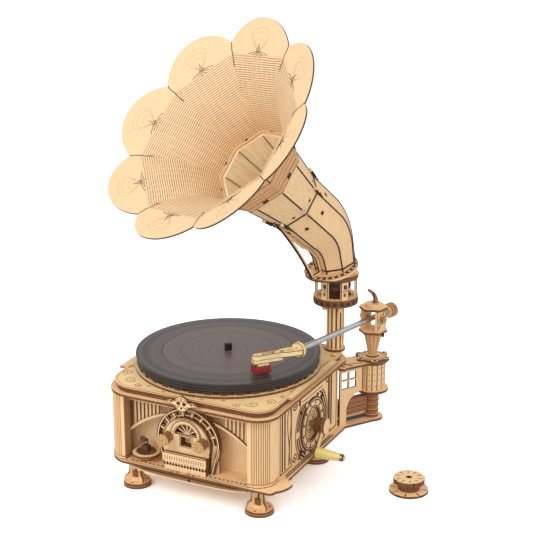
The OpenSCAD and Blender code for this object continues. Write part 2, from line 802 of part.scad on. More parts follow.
module gear_frame() color(wood) {
    for (x = [frame_in_x, frame_out_x]) board_yz(x, ply) difference() {
        translate([-14, floor_z]) square([44, counter_z + 8 - floor_z]);
        translate([crank_y, crank_z]) circle(crank_shaft_r + shaft_play);
        translate([0, counter_z]) circle(counter_r + shaft_play);
    }
    for (y = [-13, 26]) translate([frame_in_x, y, floor_z]) cube([frame_out_x - frame_in_x, ply, 4]);
}

module platter_pedestal() color(wood) translate([0, 0, floor_z]) difference() {
    union() {
        cylinder(r = pedestal_r, h = pedestal_h);
        cylinder(r = pedestal_r + 4, h = ply);
    }
    translate([0, 0, pedestal_h - 14]) cylinder(r = crank_shaft_r + shaft_play, h = 20);
}

module battery_box() color(black) translate([-78, -30, floor_z]) {
    difference() {
        cube([42, 68, 20]);
        translate([2, 2, 2]) cube([38, 64, 20]);
    }
    for (k = [0 : 1]) translate([12 + 18 * k, 5, 10.8]) rotate([-90, 0, 0]) cylinder(r = 8.5, h = 58);
}

module platter_bush() color(brass) difference() {
    union() {
        translate([0, 0, deck_z - ply]) cylinder(r = 10, h = 2 * ply);
        translate([0, 0, deck_z - ply]) cylinder(r = 14, h = ply - seat_gap);
    }
    translate([0, 0, deck_z - 10]) cylinder(r = crank_shaft_r + shaft_play, h = 20);
}

// Turntable

module platter() color(wood) translate([0, 0, platter_z]) linear_extrude(mat_z - platter_z) difference() {
    circle(platter_r);
    circle(crank_shaft_r);
    for (k = [0 : 35]) rotate(10 * k) translate([platter_r, 0]) square([4, 6], center = true);
}

module platter_shaft() color(steel) {
    low = counter_z + 3 - 14;
    translate([0, 0, low + 1]) cylinder(r = crank_shaft_r, h = mat_z - low - 1);
    translate([0, 0, mat_z]) cylinder(r = spindle_r, h = record_top + 1 - mat_z);
    translate([0, 0, disc_z]) cylinder(r = drive_disc_r, h = ply);
    translate([0, 0, disc_z + ply]) cylinder(r = 7, h = 3);
}

module platter_mat() color(black) translate([0, 0, mat_z]) difference() {
    cylinder(r = record_r - 1, h = mat_t - seat_gap / 2, $fn = 128);
    translate([0, 0, -1]) cylinder(r = spindle_r, h = mat_t + 2);
}

module record() color(black) translate([0, 0, record_z]) difference() {
    cylinder(r = record_r, h = record_t, $fn = 128);
    translate([0, 0, -1]) cylinder(r = spindle_r + shaft_play, h = record_t + 2);
}

module spindle_cap() color(black) translate([0, 0, record_top]) difference() {
    union() {
        cylinder(r = cap_r, h = cap_h - 1.5);
        translate([0, 0, cap_h - 1.5]) cylinder(r1 = cap_r, r2 = cap_r - 1.2, h = 1.5);
    }
    translate([0, 0, -1]) cylinder(r = spindle_r, h = 2.1);
}

// Crank and gears

module on_crank(x) translate([x, crank_y, crank_z]) rotate([0, 90, 0]) children();

module crank_shaft() color(steel) on_crank(frame_in_x - 4) cylinder(r = crank_shaft_r, h = arm_x + 1 - frame_in_x + 4);

module crank_gear() color(wood) translate([gear_x, crank_y, crank_z]) rotate([90, 0, 90]) linear_extrude(gear_t)
    difference() {
        rotate(mesh_angle) gear2d(gear_teeth, gear_module);
        circle(crank_shaft_r);
        for (k = [0 : 5]) rotate(60 * k) translate([gear_pitch_r * 0.6, 0]) circle(6);
    }

module crank_arm() color(wood) {
    on_crank(hub_x) difference() {
        cylinder(r = 9.4, h = arm_x - hub_x);
        translate([0, 0, -1]) cylinder(r = crank_shaft_r, h = 20);
    }
    board_yz(arm_x + 1, ply - 1) {
        translate([crank_y, crank_z]) circle(10);
        translate([handle_y, handle_z]) circle(6);
        translate([crank_y, crank_z]) rotate(crank_angle) translate([0, -4.5]) square([crank_len, 9]);
    }
    on_crank(arm_x) difference() {
        cylinder(r = 10, h = 1);
        translate([0, 0, -1]) cylinder(r = crank_shaft_r, h = 3);
    }
    on_crank(arm_x + ply) cylinder(r = 9.5, h = ply);
    translate([arm_x + ply, handle_y, handle_z]) rotate([0, 90, 0]) {
        cylinder(r = handle_pin_r, h = handle_len + 1);
        translate([0, 0, handle_len + 2 * run_gap]) cylinder(r = 3.4, h = 1.6);
    }
}

module crank_handle() color([0.93, 0.86, 0.50]) translate([handle_x, handle_y, handle_z]) rotate([0, 90, 0])
    difference() {
        union() {
            cylinder(r = handle_r - 0.6, h = 1.2);
            translate([0, 0, 1.2]) cylinder(r1 = handle_r, r2 = handle_r - 2.6, h = handle_len - 1.2);
        }
        translate([0, 0, -1]) cylinder(r = handle_pin_r + shaft_play, h = handle_len + 2);
    }

module countershaft() color(steel) translate([pedestal_r + 2, 0, counter_z]) rotate([0, 90, 0])
    cylinder(r = counter_r, h = frame_out_x + 6 - pedestal_r - 2);

module pinion() color(wood) translate([gear_x - 1, 0, counter_z]) rotate([90, 0, 90]) linear_extrude(gear_t + 2)
    difference() {
        rotate(mesh_angle + 180 + 180 / pinion_teeth) gear2d(pinion_teeth, gear_module);
        circle(counter_r);
    }

module friction_wheel() color(black) translate([drive_at - 2, 0, counter_z]) rotate([0, 90, 0]) difference() {
    union() {
        cylinder(r = wheel_r, h = 4);
        cylinder(r = 5, h = 7);
    }
    translate([0, 0, -1]) cylinder(r = counter_r, h = 10);
}

// Tonearm

module at_tower() translate([tower_x, tower_y, 0]) rotate([0, 0, -90 - arm_heading]) children();
module on_arm() at_tower() translate([0, 0, pivot_z]) rotate([0, -arm_pitch, 0]) children();

module wavy(r, t) linear_extrude(t) {
    circle(r - 2);
    for (k = [0 : 5]) rotate(60 * k) translate([r - 6, 0]) circle(6);
}

module arm_yoke() color(wood) at_tower() {
    translate([0, 0, shelf_z - 20]) cylinder(r = yoke_pin_r, h = yoke_z - shelf_z + 22);
    translate([0, 0, yoke_z]) cylinder(r = 8.5, h = 2.4);
    translate([0, 0, yoke_z + 2.4]) cylinder(r1 = 5.5, r2 = 12, h = yoke_low_z - yoke_z - 2.4);
    translate([0, 0, yoke_low_z]) wavy(yoke_r, ply);
    for (y = [-cheek_y - ply, cheek_y]) difference() {
        translate([-10, y, yoke_low_z + ply]) cube([20, ply, yoke_top_z - yoke_low_z - ply]);
        translate([0, y - 1, pivot_z]) rotate([-90, 0, 0]) cylinder(r = pivot_r + shaft_play, h = ply + 2);
    }
    translate([0, 0, yoke_top_z]) wavy(yoke_r, ply);
    translate([0, 0, yoke_top_z + ply]) cylinder(r = 10.5, h = 4);
    rotate([0, 0, -54]) translate([-2, 2, yoke_top_z + ply + 4]) rotate([90, 0, 0]) linear_extrude(4) polygon(concat(
        [[3.4, -1], [-4, -1]], arc(14, 1, 18, 183, 105, 8),
        [for (i = [0 : 8]) let (a = 106 + 10 * i, r = 15.4 - 0.6 * i) [14 + r * cos(a), 1 + r * sin(a)]]));
}

module tonearm_tube() color(steel) on_arm() difference() {
    translate([-tube_tail, 0, 0]) rotate([0, 90, 0]) cylinder(r = tube_r, h = tube_tail + tube_front);
    translate([0, -10, 0]) rotate([-90, 0, 0]) cylinder(r = pivot_r, h = 20);
}

module pivot_pin() color(brass) on_arm() rotate([-90, 0, 0]) {
    translate([0, 0, -cheek_y - ply - 2]) cylinder(r = pivot_r, h = 2 * (cheek_y + ply) + 4);
    for (z = [-cheek_y - ply - run_gap - 5, cheek_y + ply + run_gap]) translate([0, 0, z]) cylinder(r = 4.2, h = 5);
}

module counterweight() color(layered) on_arm() translate([-tube_tail + 1, 0, 0]) rotate([0, 90, 0]) difference() {
    for (k = [0 : 3]) translate([0, 0, 2.8 * k]) cylinder(r = k % 2 == 0 ? weight_r : weight_r - 1.4, h = 2.8);
    translate([0, 0, -1]) cylinder(r = tube_r, h = 14);
}

module in_shell() on_arm() translate([tube_front, 0, 0]) rotate([0, 0, -shell_offset]) children();

shell_x = tube_front + shell_len * cos(shell_offset);
cart_drop = (pivot_z + shell_x * sin(arm_pitch) - record_top - run_gap) / cos(arm_pitch);
cart_h = 9.5;

module headshell() color(wood) {
    on_arm() translate([tube_front - 7, 0, 0]) rotate([0, 90, 0]) difference() {
        cylinder(r = 9.5, h = 5);
        translate([0, 0, -1]) cylinder(r = tube_r, h = 7);
    }
    difference() {
        in_shell() shell_boards();
        on_arm() translate([tube_front - 8, 0, 0]) rotate([0, 90, 0]) cylinder(r = tube_r, h = 8 + seat_gap);
    }
}

// Top board and the blocks under it that hold the cartridge
module shell_boards() {
        translate([0, 0, -3]) linear_extrude(6) difference() {
            polygon(concat([[-4, -8], [16, -7], [24, -4.5]], arc(shell_len - 4.5, 0, 4.5, -90, 90, 8),
                [[24, 4.5], [16, 7], [-4, 8]]));
            translate([3, -3.5]) square([10, 7]);
            translate([shell_len - 12, -1]) square([7, 2]);
        }
        translate([20, -5, -7]) cube([shell_len - 21, 10, 4]);
        translate([shell_len - 19, -5, -cart_drop + cart_h + 1.6]) cube([14, 10, cart_drop - cart_h - 8.6]);
}

module cartridge() color([0.62, 0.16, 0.15]) in_shell() {
    translate([shell_len - 21, -6.5, -cart_drop + 1.6]) cube([20, 13, cart_h]);
    translate([shell_len - 6, 0, -cart_drop + 0.2]) cylinder(r1 = 0.3, r2 = 1, h = 1.6, $fn = 24);
}

// Horn. In horn(), +X is the horn's heading and the post is at the origin

module horn() translate([post_x, post_y, 0]) rotate([0, 0, -90 - horn_heading]) children();
module bell() horn() translate([bell_reach, 0, rim_z]) rotate([0, 90 - horn_tilt, 0]) rotate([0, 0, horn_roll]) children();
module at_flange() horn() translate([elbow_s, 0, elbow_z]) rotate([0, foot_lean, 0]) children();

// Turning plate, blocks of growing height and the leaning flange, glued up as one piece
module swivel_collar() color(wood) {
    translate([post_x, post_y, swivel_z]) {
        cylinder(r = collar_r + 0.5, h = ply);
        translate([0, 0, -ply - 2]) cylinder(r = swivel_r, h = ply + 2.1);
    }
    at_flange() translate([0, 0, -ply]) cylinder(r = flange_r, h = ply);
    horn() for (a = [60 : 30 : 300]) rotate(a) translate([collar_r - 6, -2, swivel_z + ply - 0.5])
        cube([ply, 4, elbow_z - swivel_z - ply + 0.5 - 1.6 - ((collar_r - 4.5) * cos(a) - elbow_s) * tan(foot_lean)]);
}

// The elbow's middle line: straight from the neck, then a short bend, then straight to the flange
elbow_rings = 8;
bend_half = 24;
foot_dir = 90 - foot_lean;
bend_u = ((joint_z - foot_z) * cos(foot_dir) - (joint_s - foot_s) * sin(foot_dir))
    / (sin(horn_tilt) * cos(foot_dir) - cos(horn_tilt) * sin(foot_dir));
bend_at = [joint_s - bend_u * cos(horn_tilt), joint_z - bend_u * sin(horn_tilt)];
function bend(t) = bend_at + (1 - t) * (1 - t) * bend_half * [cos(horn_tilt), sin(horn_tilt)]
    - t * t * bend_half * [cos(foot_dir), sin(foot_dir)];
function elbow_mid(i) = i == 0 ? [joint_s - 0.6 * cos(horn_tilt), joint_z - 0.6 * sin(horn_tilt)]
    : i == elbow_rings ? [foot_s, foot_z] : bend((i - 1) / (elbow_rings - 2));
function elbow_dir(i) = let (t = min(max((i - 1) / (elbow_rings - 2), 0), 1)) (1 - t) * horn_tilt + t * foot_dir;
function eight(mid, dir, r, turn) = [for (k = [0 : 7]) let (a = 22.5 + 45 * k + turn)
    [mid[0] - r * cos(a) * sin(dir), r * sin(a), mid[1] + r * cos(a) * cos(dir)]];
function elbow_ring(i, wall) = let (t = i / elbow_rings)
    eight(elbow_mid(i), elbow_dir(i), joint_r + t * (elbow_foot_r - joint_r) - wall, -horn_roll * (1 - t));

// A tube from rings of eight points outside and eight inside
module eight_sided(outer, inner) {
    n = len(outer);
    o = [for (r = outer) for (p = r) p];
    q = [for (r = inner) for (p = r) p];
    polyhedron(points = concat(o, q), convexity = 6, faces = concat(
        [for (i = [0 : n - 2], k = [0 : 7]) for (f = [0, 1]) let (
                a = 8 * i + k, b = 8 * i + (k + 1) % 8, c = a + 8, d = b + 8)
            f == 0 ? [a, b, c] : [b, d, c]],
        [for (i = [0 : n - 2], k = [0 : 7]) for (f = [0, 1]) let (
                a = 8 * (n + i) + k, b = 8 * (n + i) + (k + 1) % 8, c = a + 8, d = b + 8)
            f == 0 ? [a, c, b] : [b, c, d]],
        [for (k = [0 : 7]) for (f = [0, 1]) let (a = k, b = (k + 1) % 8, c = 8 * n + k, d = 8 * n + (k + 1) % 8)
            f == 0 ? [a, c, b] : [b, c, d]],
        [for (k = [0 : 7]) for (f = [0, 1]) let (
                a = 8 * (n - 1) + k, b = 8 * (n - 1) + (k + 1) % 8,
                c = 8 * (2 * n - 1) + k, d = 8 * (2 * n - 1) + (k + 1) % 8)
            f == 0 ? [a, b, c] : [b, d, c]]));
}

module elbow() color(wood) horn() eight_sided(
    [for (i = [0 : elbow_rings]) elbow_ring(i, 0)], [for (i = [0 : elbow_rings]) elbow_ring(i, ply)]);

// Open fin under the elbow, from the neck's joint to the flange
module fin_outline() {
    inner = [for (i = [0 : elbow_rings]) let (p = elbow_mid(i), d = elbow_dir(i),
        r = (joint_r + i / elbow_rings * (elbow_foot_r - joint_r)) * cos(22.5 - horn_roll * (1 - i / elbow_rings)) + 0.6)
        [p[0] + r * sin(d), p[1] - r * cos(d)]];
    start = inner[0];
    end = [elbow_s + (flange_r - 1) * cos(foot_lean), elbow_z - (flange_r - 1) * sin(foot_lean)];
    pull = (start + end) / 2 + [-5, 3];
    polygon(concat(inner, [for (i = [0 : 7]) let (t = i / 8)
        (1 - t) * (1 - t) * end + 2 * t * (1 - t) * pull + t * t * start]));
}

module neck_brace() color(wood) horn() translate([0, ply / 2, 0]) rotate([90, 0, 0]) linear_extrude(ply) difference() {
    fin_outline();
    offset(delta = -2.8) fin_outline();
}

module neck() color(wood) bell() {
    long = neck_len;
    difference() {
        translate([0, 0, -neck_top - long]) rotate([0, 0, 22.5]) cylinder(r1 = joint_r, r2 = throat_r - 1, h = long, $fn = 8);
        translate([0, 0, -neck_top - long - 0.01]) rotate([0, 0, 22.5])
            cylinder(r1 = joint_r - ply, r2 = throat_r - 1 - ply, h = long + 0.02, $fn = 8);
    }
    for (k = [0 : 7]) rotate([0, 0, 45 * k + 22.5]) translate([joint_r - 1, -0.8, -neck_top - long])
        rotate([0, 11, 0]) cube([4.5, 1.6, 12]);
}

module bell_ring() color(layered) bell() translate([0, 0, -neck_top - 7]) rotate([0, 0, 22.5]) difference() {
    cylinder(r = throat_r + 5, h = 7, $fn = 8);
    translate([0, 0, -1]) cylinder(r = throat_r - 0.6, h = 9, $fn = 8);
}

// Bell. The profile turns from nearly along the axis at the throat to nearly flat at the rim
flare_from = 12;
flare_to = 68;
flat_throat = throat_r * cos(22.5);
flare_r = (notch_r * cos(22.5) - flat_throat) / (cos(flare_from) - cos(flare_to));
flare_rows = 10;
lobe_rows = 8;
lobe_w = notch_r * sin(22.5);
lobe_arc = (lobe_w * lobe_w + lobe_reach * lobe_reach) / 2 / lobe_reach;
lobe_from = asin((lobe_arc - lobe_reach) / lobe_arc);

function flare_angle(i) = flare_from + (flare_to - flare_from) * min(i, flare_rows) / flare_rows;
function lobe_turn(i) = lobe_from + (86 - lobe_from) * (i - flare_rows) / lobe_rows;
function lobe_out(i) = i <= flare_rows ? 0 : lobe_arc * sin(lobe_turn(i)) - (lobe_arc - lobe_reach);
function row_r(i) = flat_throat + flare_r * (cos(flare_from) - cos(flare_angle(i))) + lobe_out(i) * sin(flare_to);
function row_z(i) = -bell_depth + flare_r * (sin(flare_angle(i)) - sin(flare_from)) + lobe_out(i) * cos(flare_to);
function row_w(i) = i <= flare_rows ? row_r(i) * tan(22.5) - 0.3 : lobe_arc * cos(lobe_turn(i));

module petal() {
    n = flare_rows + lobe_rows;
    pts = [for (i = [0 : n]) let (a = flare_angle(i), r = row_r(i), z = row_z(i), w = row_w(i),
            out = [petal_t * cos(a), 0, -petal_t * sin(a)])
        for (p = [[r, -w, z], [r, w, z], [r, w, z] + out, [r, -w, z] + out]) p];
    polyhedron(points = pts, convexity = 4, faces = concat(
        [for (i = [0 : n - 1], k = [0 : 3]) for (f = [0, 1]) let (
                a = 4 * i + k, b = 4 * i + (k + 1) % 4, c = a + 4, d = b + 4)
            f == 0 ? [a, c, b] : [b, c, d]],
        [[0, 1, 2], [0, 2, 3], [4 * n + 2, 4 * n + 1, 4 * n], [4 * n + 3, 4 * n + 2, 4 * n]]));
}

module petals() color(wood) bell() for (k = [0 : 7]) rotate([0, 0, 45 * k]) petal();

// Loose adapter that stands beside the gramophone

module record_adapter() color(wood) translate([adapter_x, adapter_y, 0]) difference() {
    union() {
        cylinder(r = adapter_base_r, h = ply);
        translate([0, 0, ply]) cylinder(r = adapter_rim_r - 6, h = 9);
        translate([0, 0, ply + 9]) cylinder(r = adapter_rim_r, h = 2 * ply);
    }
    for (k = [0 : 7]) rotate(45 * k + 10) translate([adapter_base_r - 4, 0, 1.5]) cube([7, 1.6, 4], center = true);
    for (k = [0 : 4]) rotate(72 * k + 20) translate([adapter_rim_r, 0, ply + 8]) cylinder(r = 1.5, h = 8, $fn = 24);
    translate([0, 0, -1]) cylinder(r = adapter_bore_r, h = 30);
}

place() base_plate();
place() plinth_frame();
place() front_stretcher();
place() feet();
place() wall_left();
place() wall_right();
place() wall_back();
place() side_frame_left();
place() side_frame_right();
place() corner_columns();
place() front_panel();
place() recess_board();
place() arch_rim();
place() radio_face();
place() key_shelf();
place() slat_screens();
place() miniature_table();
place() mouldings();
place() deck_plate();
place() front_crest();
place() well_ring();
place() left_knob();
place() right_knob();
place() arm_shelf();
place() tower_stack();
place() tower_drum();
place() rear_bracket();
place() horn_post();
place() collar_base();
place() lantern_cage();
place() speaker();
place() gear_frame();
place() platter_pedestal();
place() battery_box();
place() platter_bush();
place() platter();
place() platter_shaft();
place() platter_mat();
place() record();
place() spindle_cap();
place() crank_shaft();
place() crank_gear();
place() crank_arm();
place() crank_handle();
place() countershaft();
place() pinion();
place() friction_wheel();
place() arm_yoke();
place() tonearm_tube();
place() headshell();
place() cartridge();
place() counterweight();
place() pivot_pin();
place() swivel_collar();
place() elbow();
place() neck_brace();
place() neck();
place() bell_ring();
place() petals();
place() record_adapter();
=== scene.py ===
# %% [markdown]
# # A plywood gramophone with a petal horn
# The real thing is glued up from laser-cut plywood sheets. Its faces are pale, and every cut edge is
# burnt brown by the laser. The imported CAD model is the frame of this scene: its pieces stay where they
# are and get their finishes here. What the solids leave out, such as engraved lines, is added as thin
# geometry that rides on the same bodies.

# %% Load the frame
from functools import partialmethod
from math import asin, cos, pi, radians, sin, tan

import bpy
from mathutils import Matrix, Vector


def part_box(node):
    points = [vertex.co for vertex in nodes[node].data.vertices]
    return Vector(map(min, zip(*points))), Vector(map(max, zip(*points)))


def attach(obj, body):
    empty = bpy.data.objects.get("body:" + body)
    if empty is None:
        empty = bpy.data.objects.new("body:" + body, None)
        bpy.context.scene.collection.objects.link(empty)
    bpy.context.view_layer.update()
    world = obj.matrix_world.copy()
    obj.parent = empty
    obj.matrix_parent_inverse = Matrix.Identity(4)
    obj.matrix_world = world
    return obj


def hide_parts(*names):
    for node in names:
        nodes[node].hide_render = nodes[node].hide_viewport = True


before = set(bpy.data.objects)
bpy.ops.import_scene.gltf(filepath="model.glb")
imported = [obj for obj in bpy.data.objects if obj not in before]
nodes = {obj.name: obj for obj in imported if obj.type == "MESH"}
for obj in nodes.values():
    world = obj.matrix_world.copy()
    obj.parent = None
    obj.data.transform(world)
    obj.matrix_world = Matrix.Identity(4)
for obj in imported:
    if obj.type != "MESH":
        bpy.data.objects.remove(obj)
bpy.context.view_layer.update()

# %% [markdown]
# ## Sizes
# The drawing's sizes are in millimetres and measured from the spindle, with the front towards -Y. One
# matrix turns them into the frame's metres. Everything that follows is written in drawing sizes, so a
# size can be compared with the solids at once. Short functions make the places that small parts take.

# %% Drawing sizes
MIDDLE = (63.7, 2.8)
TO_FRAME = Matrix.Scale(0.001, 4) @ Matrix.Translation((-MIDDLE[0], -MIDDLE[1], 0))
TO_SIDE, TO_BACK, UP = (1, 0, 0), (0, 1, 0), (0, 0, 1)
PLY, FLOOR_Z, DECK_TOP = 3.0, 44.3, 143.5
POST, TOWER = (97.0, 101.0), (131.0, 142.0)
HORN_HEADING, HORN_TILT, HORN_ROLL = 23.8, 40.6, 4.6
BELL_REACH, RIM_Z = 190.0, 449.8
print("spindle in the frame:", tuple(TO_FRAME @ Vector((0, 0, 0))))


# %% Places
def shift(x, y, z=0.0):
    return Matrix.Translation((x, y, z))


def rotate(degrees, axis="Z"):
    return Matrix.Rotation(radians(degrees), 4, axis)


def polar(r, degrees):
    return r * cos(radians(degrees)), r * sin(radians(degrees))


def around(centre, r, degrees, z):
    """A place beside an upright axis, whose x points away from the axis."""
    x, y = polar(r, degrees)
    return shift(centre[0] + x, centre[1] + y, z) @ rotate(degrees)


def put(name, data):
    """An object in the scene."""
    made = bpy.data.objects.new(name, data)
    bpy.context.scene.collection.objects.link(made)
    return made


# %% [markdown]
# ## Camera
# The photograph was measured with a fitted pinhole camera: the record, the four feet and the corner
# columns fix where it stood. The same camera is set here, with no shift and no lens blur, so that the
# render and the photograph can be laid over each other.

# %% Camera
AZIMUTH, ELEVATION, STANDS_AT = radians(26.3), radians(18.02), (772.4, -1451.4, 798.2)
camera_data = bpy.data.cameras.new("camera")
camera_data.lens, camera_data.sensor_width = 96.98, 36.0
camera_data.clip_start, camera_data.clip_end = 0.05, 30.0
camera = put("camera", camera_data)
back = Vector((sin(AZIMUTH) * cos(ELEVATION), -cos(AZIMUTH) * cos(ELEVATION), sin(ELEVATION)))
right = Vector((cos(AZIMUTH), sin(AZIMUTH), 0))
aimed = Matrix((right, back.cross(right), back)).transposed().to_4x4()
camera.matrix_world = Matrix.Translation(TO_FRAME @ Vector(STANDS_AT)) @ aimed
bpy.context.scene.camera = camera
print("camera:", camera_data.lens, "mm, at", tuple(TO_FRAME @ Vector(STANDS_AT)))


# %% [markdown]
# ## Node maths in Python
# A shader is easier to read as an expression than as a row of Math nodes. `Value` wraps a socket and
# overloads the operators. `Tree` makes every other node through one method, and its two kinds are a
# `Finish`, which owns one material, and a `Growth`, which owns one Geometry Nodes tree. The same
# expressions work in both, because Math nodes are the same in both.

# %% Values
class Value:
    """A number or a colour in a node tree. Python's operators on it add Math nodes."""

    def __init__(self, owner, socket):
        self.owner, self.socket = owner, socket

    def math(self, operation, *others):
        node = self.owner.tree.nodes.new("ShaderNodeMath")
        node.operation = operation
        for socket, value in zip(node.inputs, (self,) + others):
            self.owner.feed(socket, value)
        return Value(self.owner, node.outputs[0])

    __add__ = __radd__ = partialmethod(math, "ADD")
    __sub__ = partialmethod(math, "SUBTRACT")
    __mul__ = __rmul__ = partialmethod(math, "MULTIPLY")
    __pow__, __abs__ = partialmethod(math, "POWER"), partialmethod(math, "ABSOLUTE")
    __gt__, __lt__ = partialmethod(math, "GREATER_THAN"), partialmethod(math, "LESS_THAN")
    low, high = partialmethod(math, "MINIMUM"), partialmethod(math, "MAXIMUM")
    sine, cosine = partialmethod(math, "SINE"), partialmethod(math, "COSINE")

    def __rsub__(self, other):
        return (self * -1.0) + other

    def step(self, start, end):
        """0 before start, 1 after end, and smooth between them."""
        node = self.owner.tree.nodes.new("ShaderNodeMapRange")
        node.interpolation_type = "SMOOTHSTEP"
        for name, value in (("Value", self), ("From Min", start), ("From Max", end)):
            self.owner.feed(node.inputs[name], value)
        return Value(self.owner, node.outputs[0])

    def wave(self, pitch):
        """0 at whole multiples of the pitch and 1 halfway between them."""
        return self.math("PINGPONG", pitch / 2) * (2 / pitch)

    def within(self, low, high, soft=0.2):
        """1 between two values and 0 outside them."""
        return self.step(low - soft, low) * (1 - self.step(high, high + soft))


# %% Trees
class Tree:
    """A node tree whose nodes are all made by one method."""
    prefix = "ShaderNode"

    def feed(self, socket, value):
        value = getattr(value, "socket", value)
        if isinstance(value, bpy.types.NodeSocket):
            self.tree.links.new(value, socket)
        elif socket.type == "RGBA":
            socket.default_value = (*value[:3], 1.0)
        else:
            socket.default_value = value

    def node(self, kind, settings=None, output=0, **inputs):
        """An input is named, or numbered as n0, n1 and so on."""
        known = kind.startswith(("ShaderNode", "FunctionNode", "GeometryNode"))
        node = self.tree.nodes.new(kind if known else self.prefix + kind)
        for key, value in (settings or {}).items():
            setattr(node, key, value)
        for key, value in inputs.items():
            numbered = key[0] == "n" and key[1:].isdigit()
            self.feed(node.inputs[int(key[1:]) if numbered else key.replace("_", " ")], value)
        return Value(self, node.outputs[output])

    def vector(self, operation, first, second, output=0):
        second = {"Scale" if operation == "SCALE" else "n1": second}
        return self.node("ShaderNodeVectorMath", {"operation": operation}, output, n0=first, **second)

    def split(self, vector):
        node = self.tree.nodes.new("ShaderNodeSeparateXYZ")
        self.feed(node.inputs[0], vector)
        return [Value(self, out) for out in node.outputs]


class Finish(Tree):
    """One procedural material, as rough as bare wood unless a setting says otherwise. Its spot, x, y
    and z are the place in the drawing's millimetres."""

    def __init__(self, name, **settings):
        self.material = bpy.data.materials.new(name)
        self.material.use_nodes = True
        self.tree = self.material.node_tree
        self.tree.nodes.clear()
        self.shader = self.tree.nodes.new("ShaderNodeBsdfPrincipled")
        output = self.tree.nodes.new("ShaderNodeOutputMaterial")
        self.tree.links.new(self.shader.outputs[0], output.inputs[0])
        metres = self.node("TexCoord", output="Object")
        self.spot = self.vector("ADD", self.vector("SCALE", metres, 1000.0), (*MIDDLE, 0.0))
        self.x, self.y, self.z = self.split(self.spot)
        for key, value in {"Roughness": 0.6, **settings}.items():
            self.set(key.replace("_", " "), value)

    def set(self, name, value):
        self.feed(self.shader.inputs[name], value)

    def coloured(self, colour):
        self.set("Base Color", colour)
        return self.material

    def along(self, direction, origin=(0, 0, 0)):
        """Distance from the origin along a direction."""
        return self.vector("DOT_PRODUCT", self.vector("SUBTRACT", self.spot, origin), direction, "Value")

    def normal_along(self, direction):
        return self.vector("DOT_PRODUCT", self.node("TexCoord", output="Normal"), direction, "Value")

    def face(self, across, start=0.55, end=0.8):
        """1 where the surface lies square to a direction, and 0 where it runs along it."""
        return abs(self.normal_along(across)).step(start, end)

    def noise(self, scale, stretch=(1, 1, 1), detail=3.0, spot=None):
        spot = self.vector("MULTIPLY", spot or self.spot, stretch)
        return self.node("TexNoise", Vector=spot, Scale=scale, Detail=detail)

    def mix(self, factor, first, second):
        node = self.tree.nodes.new("ShaderNodeMix")
        node.data_type = "RGBA"
        for number, value in ((0, factor), (6, first), (7, second)):
            self.feed(node.inputs[number], value)
        return Value(self, node.outputs[2])

    def bump(self, height, distance, strength):
        self.set("Normal", self.node("Bump", Height=height, Distance=distance, Strength=strength))


# %% Growths
class Growth(Tree):
    """One Geometry Nodes tree with named inputs, a material among them."""
    prefix = "GeometryNode"

    def __init__(self, name, **inputs):
        self.tree = bpy.data.node_groups.new(name, "GeometryNodeTree")
        sockets = self.tree.interface
        for key, kind in {"Geometry": "Geometry", **inputs, "Material": "Material"}.items():
            sockets.new_socket(key, in_out="INPUT", socket_type="NodeSocket" + kind)
        sockets.new_socket("Geometry", in_out="OUTPUT", socket_type="NodeSocketGeometry")
        self.start = self.tree.nodes.new("NodeGroupInput")
        self.end = self.tree.nodes.new("NodeGroupOutput")

    def given(self, name):
        return Value(self, self.start.outputs[name])

    def close(self, geometry, selection=True, other=None):
        """Real geometry with the material on it, and another material on what is selected."""
        real = self.node("RealizeInstances", n0=geometry)
        real = self.node("SetMaterial", n0=real, Material=self.given("Material"))
        if other:
            real = self.node("SetMaterial", n0=real, Selection=selection, Material=self.given(other))
        self.feed(self.end.inputs[0], real)


def grow(name, growth, base=None, **values):
    """Run a tree once and keep its result as a plain mesh."""
    made = put(name, base or bpy.data.meshes.new(name))
    modifier = made.modifiers.new("growth", "NODES")
    modifier.node_group = growth.tree
    for item in growth.tree.interface.items_tree:
        if item.in_out == "INPUT" and item.name in values:
            modifier[item.identifier] = values[item.name]
    seen = made.evaluated_get(bpy.context.evaluated_depsgraph_get())
    plain = bpy.data.meshes.new_from_object(seen)
    made.modifiers.clear()
    made.data = plain
    print(name, "faces:", len(plain.polygons))
    return made


# %% [markdown]
# ## Plywood
# A laser-cut board has pale basswood faces with a faint straight grain, and brown cut edges. A picture
# of wood would need a map for each board. Here the normal tells what is a face, because it points along
# the board's thickness there, so one function serves boards that lie flat, stand across or lengthwise.

# %% Wood colours
def linear(red, green, blue):
    """A colour as read off a screen, 0 to 255, in the shader's linear numbers."""
    shares = (c / 255 for c in (red, green, blue))
    return tuple(c / 12.92 if c <= 10 / 255 else ((c + 0.055) / 1.055) ** 2.4 for c in shares)


PALE, WARM, GRAIN = linear(255, 218, 168), linear(247, 202, 148), linear(226, 176, 118)
BURNT, LAYER, DARK = linear(112, 66, 30), linear(158, 108, 62), linear(64, 34, 14)
print("pale wood in linear numbers:", [round(c, 3) for c in PALE])


# %% Plywood finishes
ALONG_X, ALONG_Y, ALONG_Z = (0.06, 1, 1), (1, 0.06, 1), (1, 1, 0.06)


def wood_face(finish, grain, pale=PALE, warm=WARM, spot=None):
    """Pale wood, with the grain drawn out along the smallest part of `grain`."""
    figure = finish.noise(0.55, grain, spot=spot)
    fine = finish.noise(2.2, grain, 4.0, spot)
    face = finish.mix(figure.step(0.3, 0.75), pale, warm)
    face = finish.mix(fine.step(0.52, 0.7) * 0.35, face, GRAIN)
    finish.bump(fine + figure * 0.5, 0.00008, 0.4)
    return face


def cut_edge(finish, across, edge=BURNT, layer=LAYER):
    """Brown plies that follow the board's thickness, darker in places."""
    plies = finish.along(across).wave(PLY / 2)
    rim = finish.mix(plies.step(0.35, 0.75) * 0.6, edge, layer)
    return finish.mix(finish.noise(0.25).step(0.35, 0.7) * 0.5, rim, DARK)


